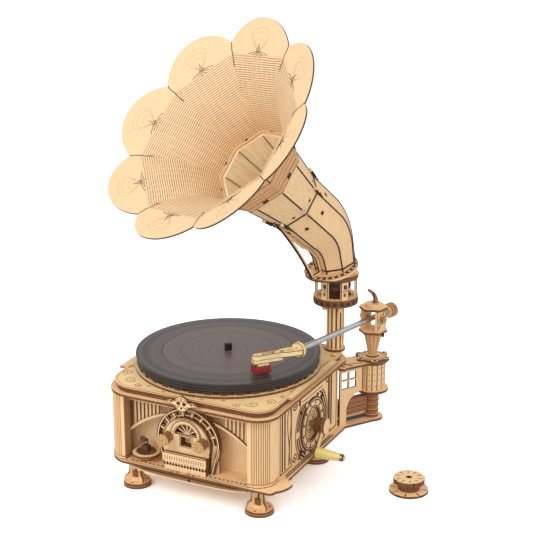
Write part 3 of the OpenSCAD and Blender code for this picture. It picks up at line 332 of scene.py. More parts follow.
def plywood(name, across, grain=ALONG_Y, pale=PALE, warm=WARM, edge=BURNT, layer=LAYER, marks=None):
    """Board with faces square to `across`; `marks` adds to the colour."""
    finish = Finish(name, Roughness=0.62)
    face, rim = wood_face(finish, grain, pale, warm), cut_edge(finish, across, edge, layer)
    colour = finish.mix(1 - finish.face(across), face, rim)
    return finish.coloured(marks(finish, colour) if marks else colour)


flat_board = plywood("plywood_flat", UP, ALONG_X)
front_board = plywood("plywood_front", TO_BACK, ALONG_Z)
side_board = plywood("plywood_side", TO_SIDE, ALONG_Z)


# %% Boards with marks
def deck_marks(finish, colour):
    """The deck's edge shows a pale middle ply between two burnt ones."""
    pale_ply = finish.z.within(DECK_TOP - 1.85, DECK_TOP - 0.9, 0.35) * (1 - finish.face(UP))
    return finish.mix(pale_ply * 0.9, colour, linear(232, 184, 138))


def stretcher_marks(finish, colour):
    """Dark above a thin pale strip, as the bowed board stands back in the shade."""
    bow_middle, bow_half, bow_rise, low_z = 3.75, 76.4, 4.5, 30.8
    low_edge = ((finish.x - bow_middle) * (1 / bow_half)) ** 4 * bow_rise + low_z
    return finish.mix((finish.z - low_edge).step(1.5, 2.1) * 0.85, colour, linear(120, 74, 38))


deck_board = plywood("plywood_deck", UP, ALONG_X, linear(255, 226, 172), linear(252, 210, 150),
                     marks=deck_marks)
stretcher_board = plywood("plywood_stretcher", TO_BACK, ALONG_Z, marks=stretcher_marks)
knob_wood = plywood("plywood_knob", TO_BACK, (1, 1, 0.3), linear(222, 176, 116), linear(196, 148, 92),
                    linear(150, 106, 62), linear(190, 144, 92))


# %% [markdown]
# ## Turned and fluted wood
# Posts, drums and columns are round, so no single direction tells a face from an edge. Their flutes are
# cut into the solids, and a flute is burnt: everywhere below the outer radius is dark. Plates of the
# same node are named by their heights.

# %% Fluted finishes
def fluted(name, centre, radius, rims=(), groove=0.3, tone=DARK, mirror=(False, False), middle_y=0.0,
           stripes=None, tints=()):
    """Wood that is darker by `groove` below its radius. `rims` are heights of cut edges, `mirror` says
    that such parts stand on both sides of x = 0 or of `middle_y`, `stripes` is a lowest height, a highest
    one and a number of stripes, and `tints` colour a range of heights."""
    finish = Finish(name)
    x, y, height = finish.x, finish.y - middle_y, finish.z
    x, y = (abs(x) if mirror[0] else x) - centre[0], (abs(y) if mirror[1] else y) - centre[1]
    away = (x * x + y * y) ** 0.5
    level = finish.face(UP)
    sunk = 1 - away.step(radius - groove - 0.25, radius - groove)
    colour = finish.mix(sunk * (1 - level), wood_face(finish, ALONG_Z), tone)
    if stripes:
        low, high, count = stripes
        bars = 1 - (x.math("ARCTAN2", y) * (180 / pi)).wave(360 / count).step(0.28, 0.45)
        colour = finish.mix(bars * height.within(low, high) * (1 - level), colour, DARK)
    for low, high, tint in tints:
        colour = finish.mix(height.within(low, high) * (0.55 + 0.45 * finish.noise(0.4)), colour, tint)
    rim = cut_edge(finish, UP)
    for low, high in rims:
        colour = finish.mix(height.within(low, high) * (1 - level), colour, rim)
    return finish.coloured(colour)


fluted_column = fluted("fluted_column", (85.0, -89.0), 22.0, ((44.0, 45.2), (47.6, 48.6), (127.2, 128.2)),
                       groove=0.5, tone=linear(172, 132, 90), mirror=(True, False))
fluted_drum = fluted("fluted_drum", TOWER, 17.0, ((80.0, 84.0), (118.4, 120.2)), 0.12, linear(156, 112, 70))
fluted_post = fluted("fluted_post", POST, 11.0, ((143.0, 146.5),), tone=BURNT)
foot_wood = fluted("foot_wood", (83.4, 79.3), 3.0, ((0.0, 2.9), (3.1, 6.0), (35.3, 41.3)),
                   mirror=(True, True), middle_y=-3.3)
lantern_wood = fluted("lantern_wood", POST, 8.0, ((203.0, 206.1), (206.3, 215.5), (238.7, 245.0)))
yoke_wood = fluted("yoke_wood", TOWER, 3.0, ((126.0, 128.8), (159.0, 162.0), (189.5, 192.5)),
                   stripes=(129.0, 158.8, 12),
                   tints=((196.8, 230.0, linear(122, 70, 46)), (129.0, 158.8, linear(214, 160, 108))))
table_wood = fluted("table_wood", (-60.0, -98.5), 1.0, ((44.0, 45.5), (51.3, 54.3)),
                    tints=((55.0, 90.0, linear(96, 56, 26)), (55.0, 90.0, linear(80, 44, 18))))


# %% [markdown]
# ## Bent and layered wood
# Bent plates show no cut edge, so they need only the face of the wood. Thick rings and blocks are stacks
# of boards, seen from their cut side: reddish-brown layers with dark glue between them.

# %% Layered finishes
def all_round(name, pale=PALE, warm=WARM, grain=(1, 1, 0.08)):
    finish = Finish(name)
    return finish.coloured(wood_face(finish, grain, pale, warm))


def stack_colour(finish, across, ply, light=linear(176, 116, 72), dim=linear(134, 82, 46), glue=DARK):
    height = finish.along(across)
    colour = finish.mix(height.wave(2 * ply).step(0.3, 0.7), light, dim)
    colour = finish.mix(1 - height.wave(ply).step(0.06, 0.3), colour, glue)
    return finish.mix(finish.noise(0.5).step(0.3, 0.75) * 0.35, colour, linear(200, 148, 100))


def layered(name, across, ply, **colours):
    finish = Finish(name)
    stack = stack_colour(finish, across, ply, **colours)
    return finish.coloured(finish.mix(finish.face(across, 0.7, 0.9), stack, wood_face(finish, ALONG_Y)))


def bracket_finish():
    """The pierced board is pale; the beam behind it is a layered stack, and the rod is dark steel."""
    starts, across, beam_from, rod_to = (99.0, 91.8, 0.0), (-0.843, 0.537, 0.0), -5.0, 50.0
    finish = Finish("bracket_wood")
    board = finish.mix(1 - finish.face(across), wood_face(finish, ALONG_Z), cut_edge(finish, across))
    beam = finish.mix(finish.z < rod_to, stack_colour(finish, UP, PLY), linear(70, 66, 66))
    return finish.coloured(finish.mix(finish.along(across, starts) > beam_from, board, beam))


# %% Dress the wooden pieces
def dress(material, names):
    for name in names.split():
        dressed = nodes[name]
        if not dressed.material_slots:
            dressed.data.materials.append(material)
        for held in dressed.material_slots:
            held.link = "OBJECT"
            held.material = material
    print(material.name, "on", names)


dress(flat_board, "base_plate mouldings well_ring arm_shelf platter record_adapter platter_pedestal")
dress(front_board,
      "wall_back front_panel recess_board arch_rim radio_face key_shelf slat_screens front_crest")
dress(side_board,
      "wall_left wall_right side_frame_left side_frame_right gear_frame crank_arm crank_gear pinion")
dress(deck_board, "deck_plate")
dress(stretcher_board, "front_stretcher")
dress(knob_wood, "left_knob right_knob")
dress(fluted_column, "corner_columns")
dress(fluted_drum, "tower_drum")
dress(fluted_post, "horn_post")
dress(foot_wood, "feet")
dress(lantern_wood, "lantern_cage collar_base swivel_collar")
dress(yoke_wood, "arm_yoke")
dress(table_wood, "miniature_table")
dress(bracket_finish(), "rear_bracket")
dress(layered("stack_wood", UP, 3.6), "tower_stack plinth_frame")
dress(all_round("yellowish_wood", linear(252, 230, 178), linear(236, 204, 148), (0.3, 0.3, 1)), "headshell")

# %% [markdown]
# ## Horn petals
# Each petal is one thin board, bent along the flare and straight across. Its edge is an arc that meets
# the next petal in a notch. The shape follows a rule, so a Geometry Nodes tree makes it: a flat grid is
# moved onto the flare, gets its thickness, and is set eight times round the horn's axis. The grid's own
# two directions are kept as a UV map in millimetres, across the petal and along the flare, so that the
# finish can draw saw cuts that follow the bend.

# %% Horn sizes
NOTCH_R, THROAT_R, BELL_DEPTH, LOBE_REACH, PETAL_T = 124.0, 50.5, 83.5, 31.0, 2.0
FLARE_FROM, FLARE_TO = radians(12), radians(68)
PETALS = 8
HALF = pi / PETALS
FLAT_THROAT = THROAT_R * cos(HALF)
FLARE_R = (NOTCH_R * cos(HALF) - FLAT_THROAT) / (cos(FLARE_FROM) - cos(FLARE_TO))
LOBE_ARC = ((NOTCH_R * sin(HALF)) ** 2 + LOBE_REACH ** 2) / 2 / LOBE_REACH
LOBE_FROM = asin((LOBE_ARC - LOBE_REACH) / LOBE_ARC)
FLARE_LEN = FLARE_R * (FLARE_TO - FLARE_FROM)

horn_axes = shift(*POST) @ rotate(-90 - HORN_HEADING)
bell = horn_axes @ shift(BELL_REACH, 0, RIM_Z) @ rotate(90 - HORN_TILT, "Y") @ rotate(HORN_ROLL)
BELL_SIDES = [tuple(bell.to_3x3().col[i]) for i in range(3)]
print("flare length", round(FLARE_LEN, 1), "lobe to", round(FLARE_LEN + LOBE_REACH, 1))


def flare_at(along):
    """The flare's turn, and its radius in the middle of a petal, at a length from the throat."""
    turn = FLARE_FROM + min(along, FLARE_LEN) / FLARE_R
    return turn, FLAT_THROAT + FLARE_R * (cos(FLARE_FROM) - cos(turn))


def petal_point(petal, across, along, lift=0.0):
    """A point of the drawing on a petal's inner face, lifted towards the horn's axis."""
    turn, radius = flare_at(along)
    past = max(along - FLARE_LEN, 0)
    radius += past * sin(FLARE_TO)
    depth = -BELL_DEPTH + FLARE_R * (sin(turn) - sin(FLARE_FROM)) + past * cos(FLARE_TO)
    turned = Matrix.Rotation(petal * 2 * HALF, 4, "Z")
    return bell @ turned @ Vector((radius - lift * cos(turn), across, depth + lift * sin(turn)))


# %% Petal tree: the grid on the flare
flower = Growth("petal_flower", Petals="Int", Throat="Float", Flare="Float", Thickness="Float",
                Edge="Material")
ROWS, COLUMNS, FLARE_SHARE = 92, 11, 0.66
throat, flare_size = flower.given("Throat"), flower.given("Flare")
side_way, row, _ = flower.split(flower.node("InputPosition"))
row = row + 0.5
on_flare = (row * (1 / FLARE_SHARE)).low(1.0)
on_lobe = ((row - FLARE_SHARE) * (1 / (1 - FLARE_SHARE))).high(0.0)
turn = on_flare * (FLARE_TO - FLARE_FROM) + FLARE_FROM
lobe_turn = on_lobe * (pi / 2 - LOBE_FROM) + LOBE_FROM
past = (lobe_turn.sine() - sin(LOBE_FROM)) * LOBE_ARC
base_radius = (cos(FLARE_FROM) - turn.cosine()) * flare_size + throat
radius = base_radius + past * sin(FLARE_TO)
depth = (turn.sine() - sin(FLARE_FROM)) * flare_size + past * cos(FLARE_TO) - BELL_DEPTH
flat_part = on_lobe < 0.0001
lobe_half = (1 - flat_part) * lobe_turn.cosine().high(0.01) * LOBE_ARC
across = side_way * (flat_part * base_radius * tan(HALF) + lobe_half)
sheet = flower.node("MeshGrid", Size_X=2.0, Size_Y=1.0, Vertices_X=COLUMNS, Vertices_Y=ROWS)
unrolled = flower.node("ShaderNodeCombineXYZ", X=across, Y=on_flare * FLARE_LEN + past)
sheet = flower.node("StoreNamedAttribute", {"data_type": "FLOAT2", "domain": "CORNER"}, Geometry=sheet,
                    Name="sheet", Value=unrolled)
bent = flower.node("ShaderNodeCombineXYZ", X=radius, Y=across, Z=depth)
sheet = flower.node("SetPosition", Geometry=sheet, Position=bent)
print("petal grid:", ROWS, "rows", COLUMNS, "columns")

# %% Petal tree: thickness, and eight of them
thick = flower.node("ExtrudeMesh", Mesh=sheet, Offset_Scale=flower.given("Thickness"), Individual=False)
walls = Value(flower, thick.socket.node.outputs["Side"])
thick = flower.node("StoreNamedAttribute", {"data_type": "BOOLEAN", "domain": "FACE"}, Geometry=thick,
                    Name="rim", Value=walls)
both = flower.node("JoinGeometry", n0=thick)
flower.feed(both.socket.node.inputs[0], flower.node("FlipFaces", n0=sheet))
petal = flower.node("MergeByDistance", Geometry=both, Distance=0.002)
turned = flower.node("ShaderNodeCombineXYZ", Z=flower.node("InputIndex") * (2 * HALF))
centres = flower.node("Points", Count=flower.given("Petals"))
wheel = flower.node("InstanceOnPoints", Points=centres, Instance=petal, Rotation=turned)
flower.close(wheel, flower.node("InputNamedAttribute", {"data_type": "BOOLEAN"}, Name="rim"), "Edge")
print("petal tree:", len(flower.tree.nodes), "nodes")

# %% [markdown]
# ## Petal finish
# The boards bend because rows of short saw cuts run across them. The cuts are too fine to model, so the
# finish draws them from the UV map: lines at an even pitch along the flare, broken into dashes that are
# staggered from row to row.

# %% Saw cuts
KERF_PITCH, KERF_FROM, KERF_TO, DASH_LEN = 2.6, 5.0, 96.0, 16.0


def petal_finish():
    finish = Finish("petal_face")
    face = wood_face(finish, (1, 1, 0.3), linear(252, 217, 172), linear(246, 206, 158))
    across, along, _ = finish.split(finish.node("UVMap", {"uv_map": "sheet"}))
    waved = along + finish.noise(0.08) * 1.6
    row = (waved * (1 / KERF_PITCH)).math("FLOOR")
    stagger = row.math("FLOORED_MODULO", 2.0) * (DASH_LEN / 2)
    dash = (across + stagger).wave(DASH_LEN).step(0.03, 0.12)
    cut = 1 - waved.wave(KERF_PITCH).step(0.1, 0.45)
    deep = finish.noise(0.035).step(0.25, 0.7) * 0.25 + 0.75
    cut = along.within(KERF_FROM, KERF_TO, 3.0) * cut * dash * deep
    return finish.coloured(finish.mix(cut, face, linear(96, 60, 28)))


petals = grow("petal_flower", flower, Petals=PETALS, Throat=FLAT_THROAT, Flare=FLARE_R, Thickness=PETAL_T,
              Material=petal_finish(), Edge=all_round("petal_edge", linear(88, 52, 24), linear(66, 38, 18)))
petals.data.transform(TO_FRAME @ bell)
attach(petals, "horn")
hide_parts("petals")

# %% [markdown]
# ## Neck, elbow and ring
# The neck and the elbow are eight plates each, with the grain along them. Inside, the neck is streaked and
# painted paler than its wood, as painted light against the shade inside the horn: a face that points at
# the horn's axis gets that colour. The ring that carries the petals is a stack of boards, seen from its
# cut side.

# %% Neck finish
PALE_STACK = dict(light=linear(238, 190, 142), dim=linear(204, 152, 104), glue=linear(112, 70, 38))
ARM_HEADING = -90 - 12


def neck_finish():
    finish = Finish("neck_wood")
    foot = tuple(bell @ Vector((0, 0, -BELL_DEPTH)))
    u, v, w = (finish.along(direction, foot) for direction in BELL_SIDES)
    own = finish.node("CombineXYZ", X=u, Y=v, Z=w)
    face = wood_face(finish, (1, 1, 0.04), PALE, linear(238, 198, 150), own)
    n_u, n_v = (finish.normal_along(direction) for direction in BELL_SIDES[:2])
    streak = finish.noise(0.22, (1, 1, 0.03), 2.0, own).step(0.45, 0.6)
    # painted light: the inner plates are paler than the wood, to make up for the shade inside the horn
    painted_light_planks = finish.mix(streak * 0.5, linear(255, 242, 208), linear(250, 208, 158))
    return finish.coloured(finish.mix((u * n_u + v * n_v) < 0.0, face, painted_light_planks))


dress(neck_finish(), "neck")
dress(all_round("plywood_round"), "elbow")
dress(layered("ring_wood", BELL_SIDES[2], 2.4, **PALE_STACK), "bell_ring")
dress(plywood("plywood_fin", tuple(horn_axes.to_3x3().col[1]), edge=DARK, layer=BURNT), "neck_brace")
dress(layered("weight_wood", (*polar(1, ARM_HEADING), 0), 2.8), "counterweight")

# %% [markdown]
# ## Burnt lines
# The laser also draws: scrolls and dashes on the faces, and a burnt line wherever two plates meet. Each
# drawing is a set of paths, and one Geometry Nodes tree sweeps a small round section along all of them.
# The paths lie a little below the surface, so that only a thin dark line stands out.

# %% Line tree
lines = Growth("burnt_lines", Width="Float")
swept = lines.node("MeshToCurve", n0=lines.given("Geometry"))
section = lines.node("CurvePrimitiveCircle", Resolution=6, Radius=lines.given("Width") * 0.5)
lines.close(lines.node("CurveToMesh", Curve=swept, Profile_Curve=section, Fill_Caps=True))


def burnt(name, colour):
    finish = Finish(name, Roughness=0.75)
    cloud = finish.noise(0.6).step(0.3, 0.7)
    return finish.coloured(finish.mix(cloud, colour, tuple(1.6 * c for c in colour)))


char_line = burnt("char_line", linear(52, 28, 12))
faint_line = burnt("faint_line", linear(178, 150, 108))
brown_line = burnt("brown_line", linear(112, 68, 32))


def draw(name, width, paths, material=char_line, body="cabinet"):
    """Burnt lines along paths of the drawing, riding on a body."""
    points, edges = [], []
    for path in paths:
        first = len(points)
        points += [TO_FRAME @ Vector(p) for p in path]
        edges += [(first + i, first + i + 1) for i in range(len(path) - 1)]
    mesh = bpy.data.meshes.new(name)
    mesh.from_pydata(points, edges, [])
    made = grow(name, lines, mesh, Width=width * 0.001, Material=material)
    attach(made, body)


# %% [markdown]
# ## Seams of the horn
# The plates of the neck and the elbow meet in dark seams. The elbow's middle line is the same bend as in
# the solids: straight from the neck, round a short corner, and straight down to the flange.

# %% Elbow rings
NECK_TOP, NECK_LEN, JOINT_R, NECK_R = BELL_DEPTH + 0.8, 70.0, 37.0, THROAT_R - 1
JOINT_Z = -NECK_TOP - NECK_LEN
SWIVEL_Z, FOOT_LEAN, FOOT_R, FLANGE_R, FLANGE_X = 242.0, 15.0, 25.5, 33.5, 8.5
FLANGE_Z = SWIVEL_Z + 10.8
FOOT = (1.0, FLANGE_Z + 7.5 * tan(radians(FOOT_LEAN)))
RINGS, CORNER_LEN = 8, 24
tilt, foot_way = radians(HORN_TILT), radians(90 - FOOT_LEAN)
JOINT = (BELL_REACH - (NECK_TOP + NECK_LEN) * cos(tilt), RIM_Z - (NECK_TOP + NECK_LEN) * sin(tilt))
reach = (((JOINT[1] - FOOT[1]) * cos(foot_way) - (JOINT[0] - FOOT[0]) * sin(foot_way))
         / sin(tilt - foot_way))
CORNER = (JOINT[0] - reach * cos(tilt), JOINT[1] - reach * sin(tilt))
print("joint", JOINT, "corner", CORNER)


def elbow_ring(i):
    """Eight corners of one of the elbow's rings."""
    share = i / RINGS
    t = min(max((i - 1) / (RINGS - 2), 0), 1)
    before, after = CORNER_LEN * (1 - t) ** 2, CORNER_LEN * t ** 2
    bend = (CORNER[0] + before * cos(tilt) - after * cos(foot_way),
            CORNER[1] + before * sin(tilt) - after * sin(foot_way))
    middle = {0: JOINT, RINGS: FOOT}.get(i, bend)
    way = (1 - t) * tilt + t * foot_way
    radius = JOINT_R + share * (FOOT_R - JOINT_R)
    ring = []
    for k in range(8):
        up, side = polar(radius, 22.5 + 45 * k - HORN_ROLL * (1 - share))
        ring.append(horn_axes @ Vector((middle[0] - up * sin(way), side, middle[1] + up * cos(way))))
    return ring


def neck_corner(k, z, lift=0.0):
    radius = JOINT_R + (NECK_R - JOINT_R) * (z + NECK_TOP + NECK_LEN) / NECK_LEN + lift
    return bell @ Vector((*polar(radius, 22.5 + 45 * k), z))


# %% Seam lines
rings = [elbow_ring(i) for i in range(RINGS + 1)]
seams = [[neck_corner(k, JOINT_Z), neck_corner(k, -NECK_TOP - 5)] for k in range(8)]
seams += [[ring[k] for ring in rings] for k in range(8)]
draw("plate_seams", 1.9, seams, body="horn")
inner_seams = [[neck_corner(k, JOINT_Z + 2, -3.7), neck_corner(k, -NECK_TOP - 0.5, -3.7)] for k in range(8)]
draw("inner_seams", 0.9, inner_seams, brown_line, body="horn")
joint_lines = [[neck_corner(k % 8, JOINT_Z + 0.3, 0.1) for k in range(9)]]
joint_lines += [[rings[-2][k % 8].lerp(rings[-1][k % 8], 0.8) for k in range(9)]]
draw("joint_seams", 2.3, joint_lines, body="horn")

# %% Fin edge and notches
fin_r = JOINT_R * cos(radians(22.5 - HORN_ROLL)) + 0.6
fin_top = Vector((JOINT[0] + fin_r * sin(tilt), JOINT[1] - fin_r * cos(tilt)))
flange_out, flange_down = polar(FLANGE_R - 1, FOOT_LEAN)
fin_foot = Vector((FLANGE_X + flange_out, FLANGE_Z - flange_down))
fin_pull = (fin_top + fin_foot) / 2 + Vector((-5, 3))
fin_curve = [(1 - t) ** 2 * fin_foot + 2 * t * (1 - t) * fin_pull + t * t * fin_top
             for t in (i / 10 for i in range(11))]
fin_edges = [[horn_axes @ Vector((p.x, side, p.y)) for p in fin_curve] for side in (-1.4, 1.4)]
draw("brace_edge", 1.5, fin_edges, body="horn")
notch_seams = []
for k in range(PETALS):
    path = [FLARE_LEN - 27 * i / 6 for i in range(7)]
    notch_seams.append([petal_point(k, flare_at(a)[1] * tan(HALF) + 0.5 * sin(i * 2.1 + k), a, -0.1)
                        for i, a in enumerate(path)])
draw("notch_seams", 1.2, notch_seams, body="horn")

# %% [markdown]
# ## Ornaments of the petals
# Every lobe carries a small burnt figure with three points just outside the saw cuts, and faint nested
# drops around it. They are drawn flat, in the petal's own two directions, and then laid on the flare.

# %% Petal ornaments
FIGURE_AT, DROPS = 101.0, ((21, 29, 100), (16, 23, 101), (10, 15, 102))
FIGURE = [
    [(-15, -2.5), (-10, -0.8), (-4, 0.2), (0, 0.6), (4, 0.2), (10, -0.8), (15, -2.5)],
    [(-3.4, 0.6), (-0.9, 3.6), (0, 10), (0.9, 3.6), (3.4, 0.6)],
    [(-9, -3.4), (-4, -2.2), (0, 0.2), (4, -2.2), (9, -3.4)],
    [(-3.4, -5), (0, -1.6), (3.4, -5)],
]


def drop(width, height, low):
    """A drop with its point at `low` and its round end `height` further out."""
    turns = [2 * pi * i / 36 for i in range(37)]
    return [(width * sin(t) * sin(t / 2) ** 1.5, low + height * (1 - cos(t)) / 2) for t in turns]


figures = [[petal_point(k, a, FIGURE_AT + b, 0.05) for a, b in path]
           for k in range(PETALS) for path in FIGURE]
drops = [[petal_point(k, a, b, -0.05) for a, b in drop(*size)] for k in range(PETALS) for size in DROPS]
draw("petal_figures", 0.65, figures, body="horn")
draw("petal_drops", 0.45, drops, faint_line, body="horn")


# %% [markdown]
# ## Repeated blocks
# Small slots, tenons and pegs repeat all over the object. Each could be a cube of its own, but that
# makes hundreds of objects. Instead a cloud of points carries a turn and a size for each of them, and a
# Geometry Nodes tree sets a block or a round peg on every point.

# %% Block tree
def block_tree(name, shape, **inputs):
    growth = Growth(name)
    turn, size = (growth.node("InputNamedAttribute", {"data_type": "FLOAT_VECTOR"}, Name=key)
                  for key in ("turn", "size"))
    growth.close(growth.node("InstanceOnPoints", Points=growth.given("Geometry"),
                             Instance=growth.node(shape, **inputs), Rotation=turn, Scale=size))
    return growth


blocks = block_tree("repeated_blocks", "MeshCube")
pegs = block_tree("repeated_pegs", "MeshCylinder", Vertices=16, Radius=0.5, Depth=1.0)


def repeat(name, growth, entries, material=char_line, body="cabinet"):
    """One block for each entry: a matrix of the drawing, and its size in millimetres."""
    mesh = bpy.data.meshes.new(name)
    mesh.from_pydata([TO_FRAME @ matrix.translation for matrix, _ in entries], [], [])
    turns = [value for matrix, _ in entries for value in matrix.to_euler()]
    sizes = [value * 0.001 for _, size in entries for value in size]
    for key, values in (("turn", turns), ("size", sizes)):
        mesh.attributes.new(key, "FLOAT_VECTOR", "POINT").data.foreach_set("vector", values)
    made = grow(name, growth, mesh, Material=material)
    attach(made, body)


# %% Places on a surface
def facing_out(origin, out, up):
    """A place on a surface: x points out of it, and z up along it."""
    out = Vector(out).normalized()
    side = Vector(up).cross(out).normalized()
    return Matrix.Translation(origin) @ Matrix((out, side, out.cross(side))).transposed().to_4x4()


def on_plate(corners_low, corners_high, share, middle):
    """A place in the middle of a plate, at a share of the way from its low edge to its high one."""
    low, high = (corners_low[0] + corners_low[1]) / 2, (corners_high[0] + corners_high[1]) / 2
    out = (corners_low[1] - corners_low[0]).cross(high - low)
    spot = low.lerp(high, share)
    return facing_out(spot, out if out.dot(spot - middle) > 0 else -out, high - low)


# %% Slots and tenons of the horn
slots = []
neck_middle, elbow_middle = bell @ Vector((0, 0, JOINT_Z)), sum(rings[0], Vector()) / 8
for k in range(8):
    after = (k + 1) % 8
    corner = bell @ rotate(45 * k + 22.5)
    low, high = ([neck_corner(k, z), neck_corner(k + 1, z)] for z in (JOINT_Z, -NECK_TOP - 7))
    elbow_tab = on_plate([rings[0][k], rings[0][after]], [rings[2][k], rings[2][after]], 0.35, elbow_middle)
    inwards = bell.to_3x3() @ Matrix.Rotation(2 * HALF * k, 3, "Z") @ Vector((-1, 0, 0))
    slots += [
        (on_plate(low, high, 0.10, neck_middle), (0.5, 4.0, 2.6)),
        (elbow_tab @ shift(0.7, 0), (0.8, 4.4, 4.0)),
        # a dark peg at each corner of the joint
        (corner @ shift(JOINT_R - 1, 0, JOINT_Z) @ rotate(11, "Y") @ shift(2.2, 0, 1.5), (4.6, 2.0, 11.0)),
        # slots in the ring, and in the foot of each petal
        (bell @ rotate(45 * k) @ shift((THROAT_R + 5) * cos(HALF), 0, -NECK_TOP - 3.5), (0.6, 7.0, 3.4)),
        (facing_out(petal_point(k, 2, 3.5), inwards, BELL_SIDES[2]), (0.5, 3.4, 1.8)),
        # a cover along each corner, over the joint
        (corner @ shift(JOINT_R + 0.6, 0, JOINT_Z + 1), (2.2, 1.5, 22.0)),
    ]
repeat("horn_slots", blocks, slots, body="horn")

# %% [markdown]
# ## Stack behind the petals
# Between the ring and the petals' backs the real horn has more layers of board, each a little wider than
# the last. They are one eight-sided band that leans with the petals, with a small step at every board.

# %% Stepped band
levels = []
for step in range(6):
    low, radius = -NECK_TOP + 3.2 * step, 1.1 * step
    levels += [(56.2 + radius, low), (56.2 + radius, low + 3.0), (55.4 + radius, low + 3.2)]
levels += [(59.8, levels[-1][1]), (55.4, -NECK_TOP + 6), (54.4, -NECK_TOP)]
count = len(levels)
band_points = [TO_FRAME @ (bell @ Matrix.Rotation(HALF * (2 * k + 1), 4, "Z") @ Vector((radius, 0, z)))
               for radius, z in levels for k in range(8)]
band_faces = [(8 * i + k, 8 * i + (k + 1) % 8, 8 * ((i + 1) % count) + (k + 1) % 8, 8 * ((i + 1) % count) + k)
              for i in range(count) for k in range(8)]
band_mesh = bpy.data.meshes.new("petal_stack")
band_mesh.from_pydata(band_points, [], band_faces)
band_mesh.materials.append(layered("band_wood", BELL_SIDES[2], 3.2, **PALE_STACK))
band_mesh.update()
band = put("petal_stack", band_mesh)
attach(band, "horn")
print("petal stack:", len(band_faces), "faces")


# %% [markdown]
# ## Drawing helpers
# All the drawings on the cabinet are made of arcs, spirals and straight strokes on a flat face. Each
# helper gives flat points, and `laid` puts them on a level, a front or a side face. Where a piece is
# turned or leans, they are laid in its own axes.

# %% Strokes
def arc_line(cx, cy, r, start=0, end=360, n=24):
    angles = [start + (end - start) * i / n for i in range(n + 1)]
    return [(cx + x, cy + y) for x, y in (polar(r, a) for a in angles)]


def circles(centre, radii, n=40):
    return [arc_line(*centre, r, n=n) for r in radii]


def spiral(cx, cy, r, start, hand=1, turns=1.4, n=26):
    """A scroll that winds in from its outer radius."""
    points = [polar(r * (1 - 0.82 * i / n), start + hand * 360 * turns * i / n) for i in range(n + 1)]
    return [(cx + x, cy + y) for x, y in points]


def laid(face, level, strokes, axes=Matrix()):
    """Flat strokes put on a face of some axes: "top" at a height, "front" at a y, "side" at an x."""
    place = {"top": lambda a, b: (a, b, level), "front": lambda a, b: (a, level, b),
             "side": lambda a, b: (level, a, b)}[face]
    return [[axes @ Vector(place(a, b)) for a, b in stroke] for stroke in strokes]


def dashes(z, start, end, pitch, size):
    """Flat blocks on a level, at an even pitch from one point to another."""
    start, end = Vector(start), Vector(end)
    count = max(int((end - start).length / pitch), 1)
    spots = [start.lerp(end, (i + 0.5) / count) for i in range(count)]
    return [(shift(p.x, p.y, z) @ rotate(-90, "Y"), size) for p in spots]


# %% [markdown]
# ## Deck drawings
# A line follows the deck's edge, scrolls fill its corners, and dashes run along the sides. The ring under
# the platter is dashed all round.

# %% Deck border and scrolls
DECK_SIDES = dict(left=-104.0, right=111.5, front=-119.5, back=110.5)
SCROLLS = ((84, -101, 8, 200, 1), (99, -84, 7, 250, 1), (69, -110, 5, 180, 1), (105, -66, 4, 270, 1),
           (-78, -98, 8, -20, -1), (-93, -80, 7, -70, -1), (-62, -109, 5, 0, -1), (-99, -62, 4, -90, -1),
           (98, 96, 8, 90, -1), (84, 101, 5, 90, 1), (-91, 95, 7.5, 90, 1), (-76, 102, 5, 90, -1),
           (104, 78, 4, 0, -1), (-99, 78, 4, 0, 1))


def deck_outline(inset):
    left, right = DECK_SIDES["left"] + inset, DECK_SIDES["right"] - inset
    front, back = DECK_SIDES["front"] + inset, DECK_SIDES["back"] - inset
    big, small = 35.5 - inset, 23.5 - inset
    return (arc_line(left + big, front + big, big, 180, 270, 12)
            + arc_line(right - small, front + small, small, 270, 360, 10)
            + arc_line(right - small, back - small, small, 0, 90, 10)
            + arc_line(left + small, back - small, small, 90, 180, 10) + [(left, front + big)])


deck_strokes = [spiral(*scroll) for scroll in SCROLLS]
for degrees in (-65.0, -77.5, -90.0, -102.5, -115.0):
    x, y = polar(116.5, degrees)
    deck_strokes.append(arc_line(x, y - 0.6, 1.6, n=8))
draw("deck_scrolls", 1.1, laid("top", DECK_TOP - 0.1, deck_strokes),
     burnt("deck_line", linear(150, 112, 62)))
draw("deck_border", 2.0, laid("top", DECK_TOP - 0.55, [deck_outline(3.0)]),
     burnt("border_line", linear(196, 152, 100)))
deck_dashes = dashes(DECK_TOP, (107.6, -50), (107.6, 60), 5.5, (0.3, 2.0, 3.0))
deck_dashes += dashes(DECK_TOP, (-100.2, -45), (-100.2, 75), 6.0, (0.3, 1.4, 3.4))
deck_dashes += [(around((0, 0), 107.5, 10 * k + 5, DECK_TOP + PLY), (4.6, 8.5, 0.3)) for k in range(36)]
repeat("deck_dashes", blocks, deck_dashes, brown_line)

# %% [markdown]
# ## Side walls
# Both side walls have a round rosette with arcs about it, scrolls in the corners and a double frame at
# each end. The drawings are the same on both sides, so one set of strokes is laid at x and at -x.

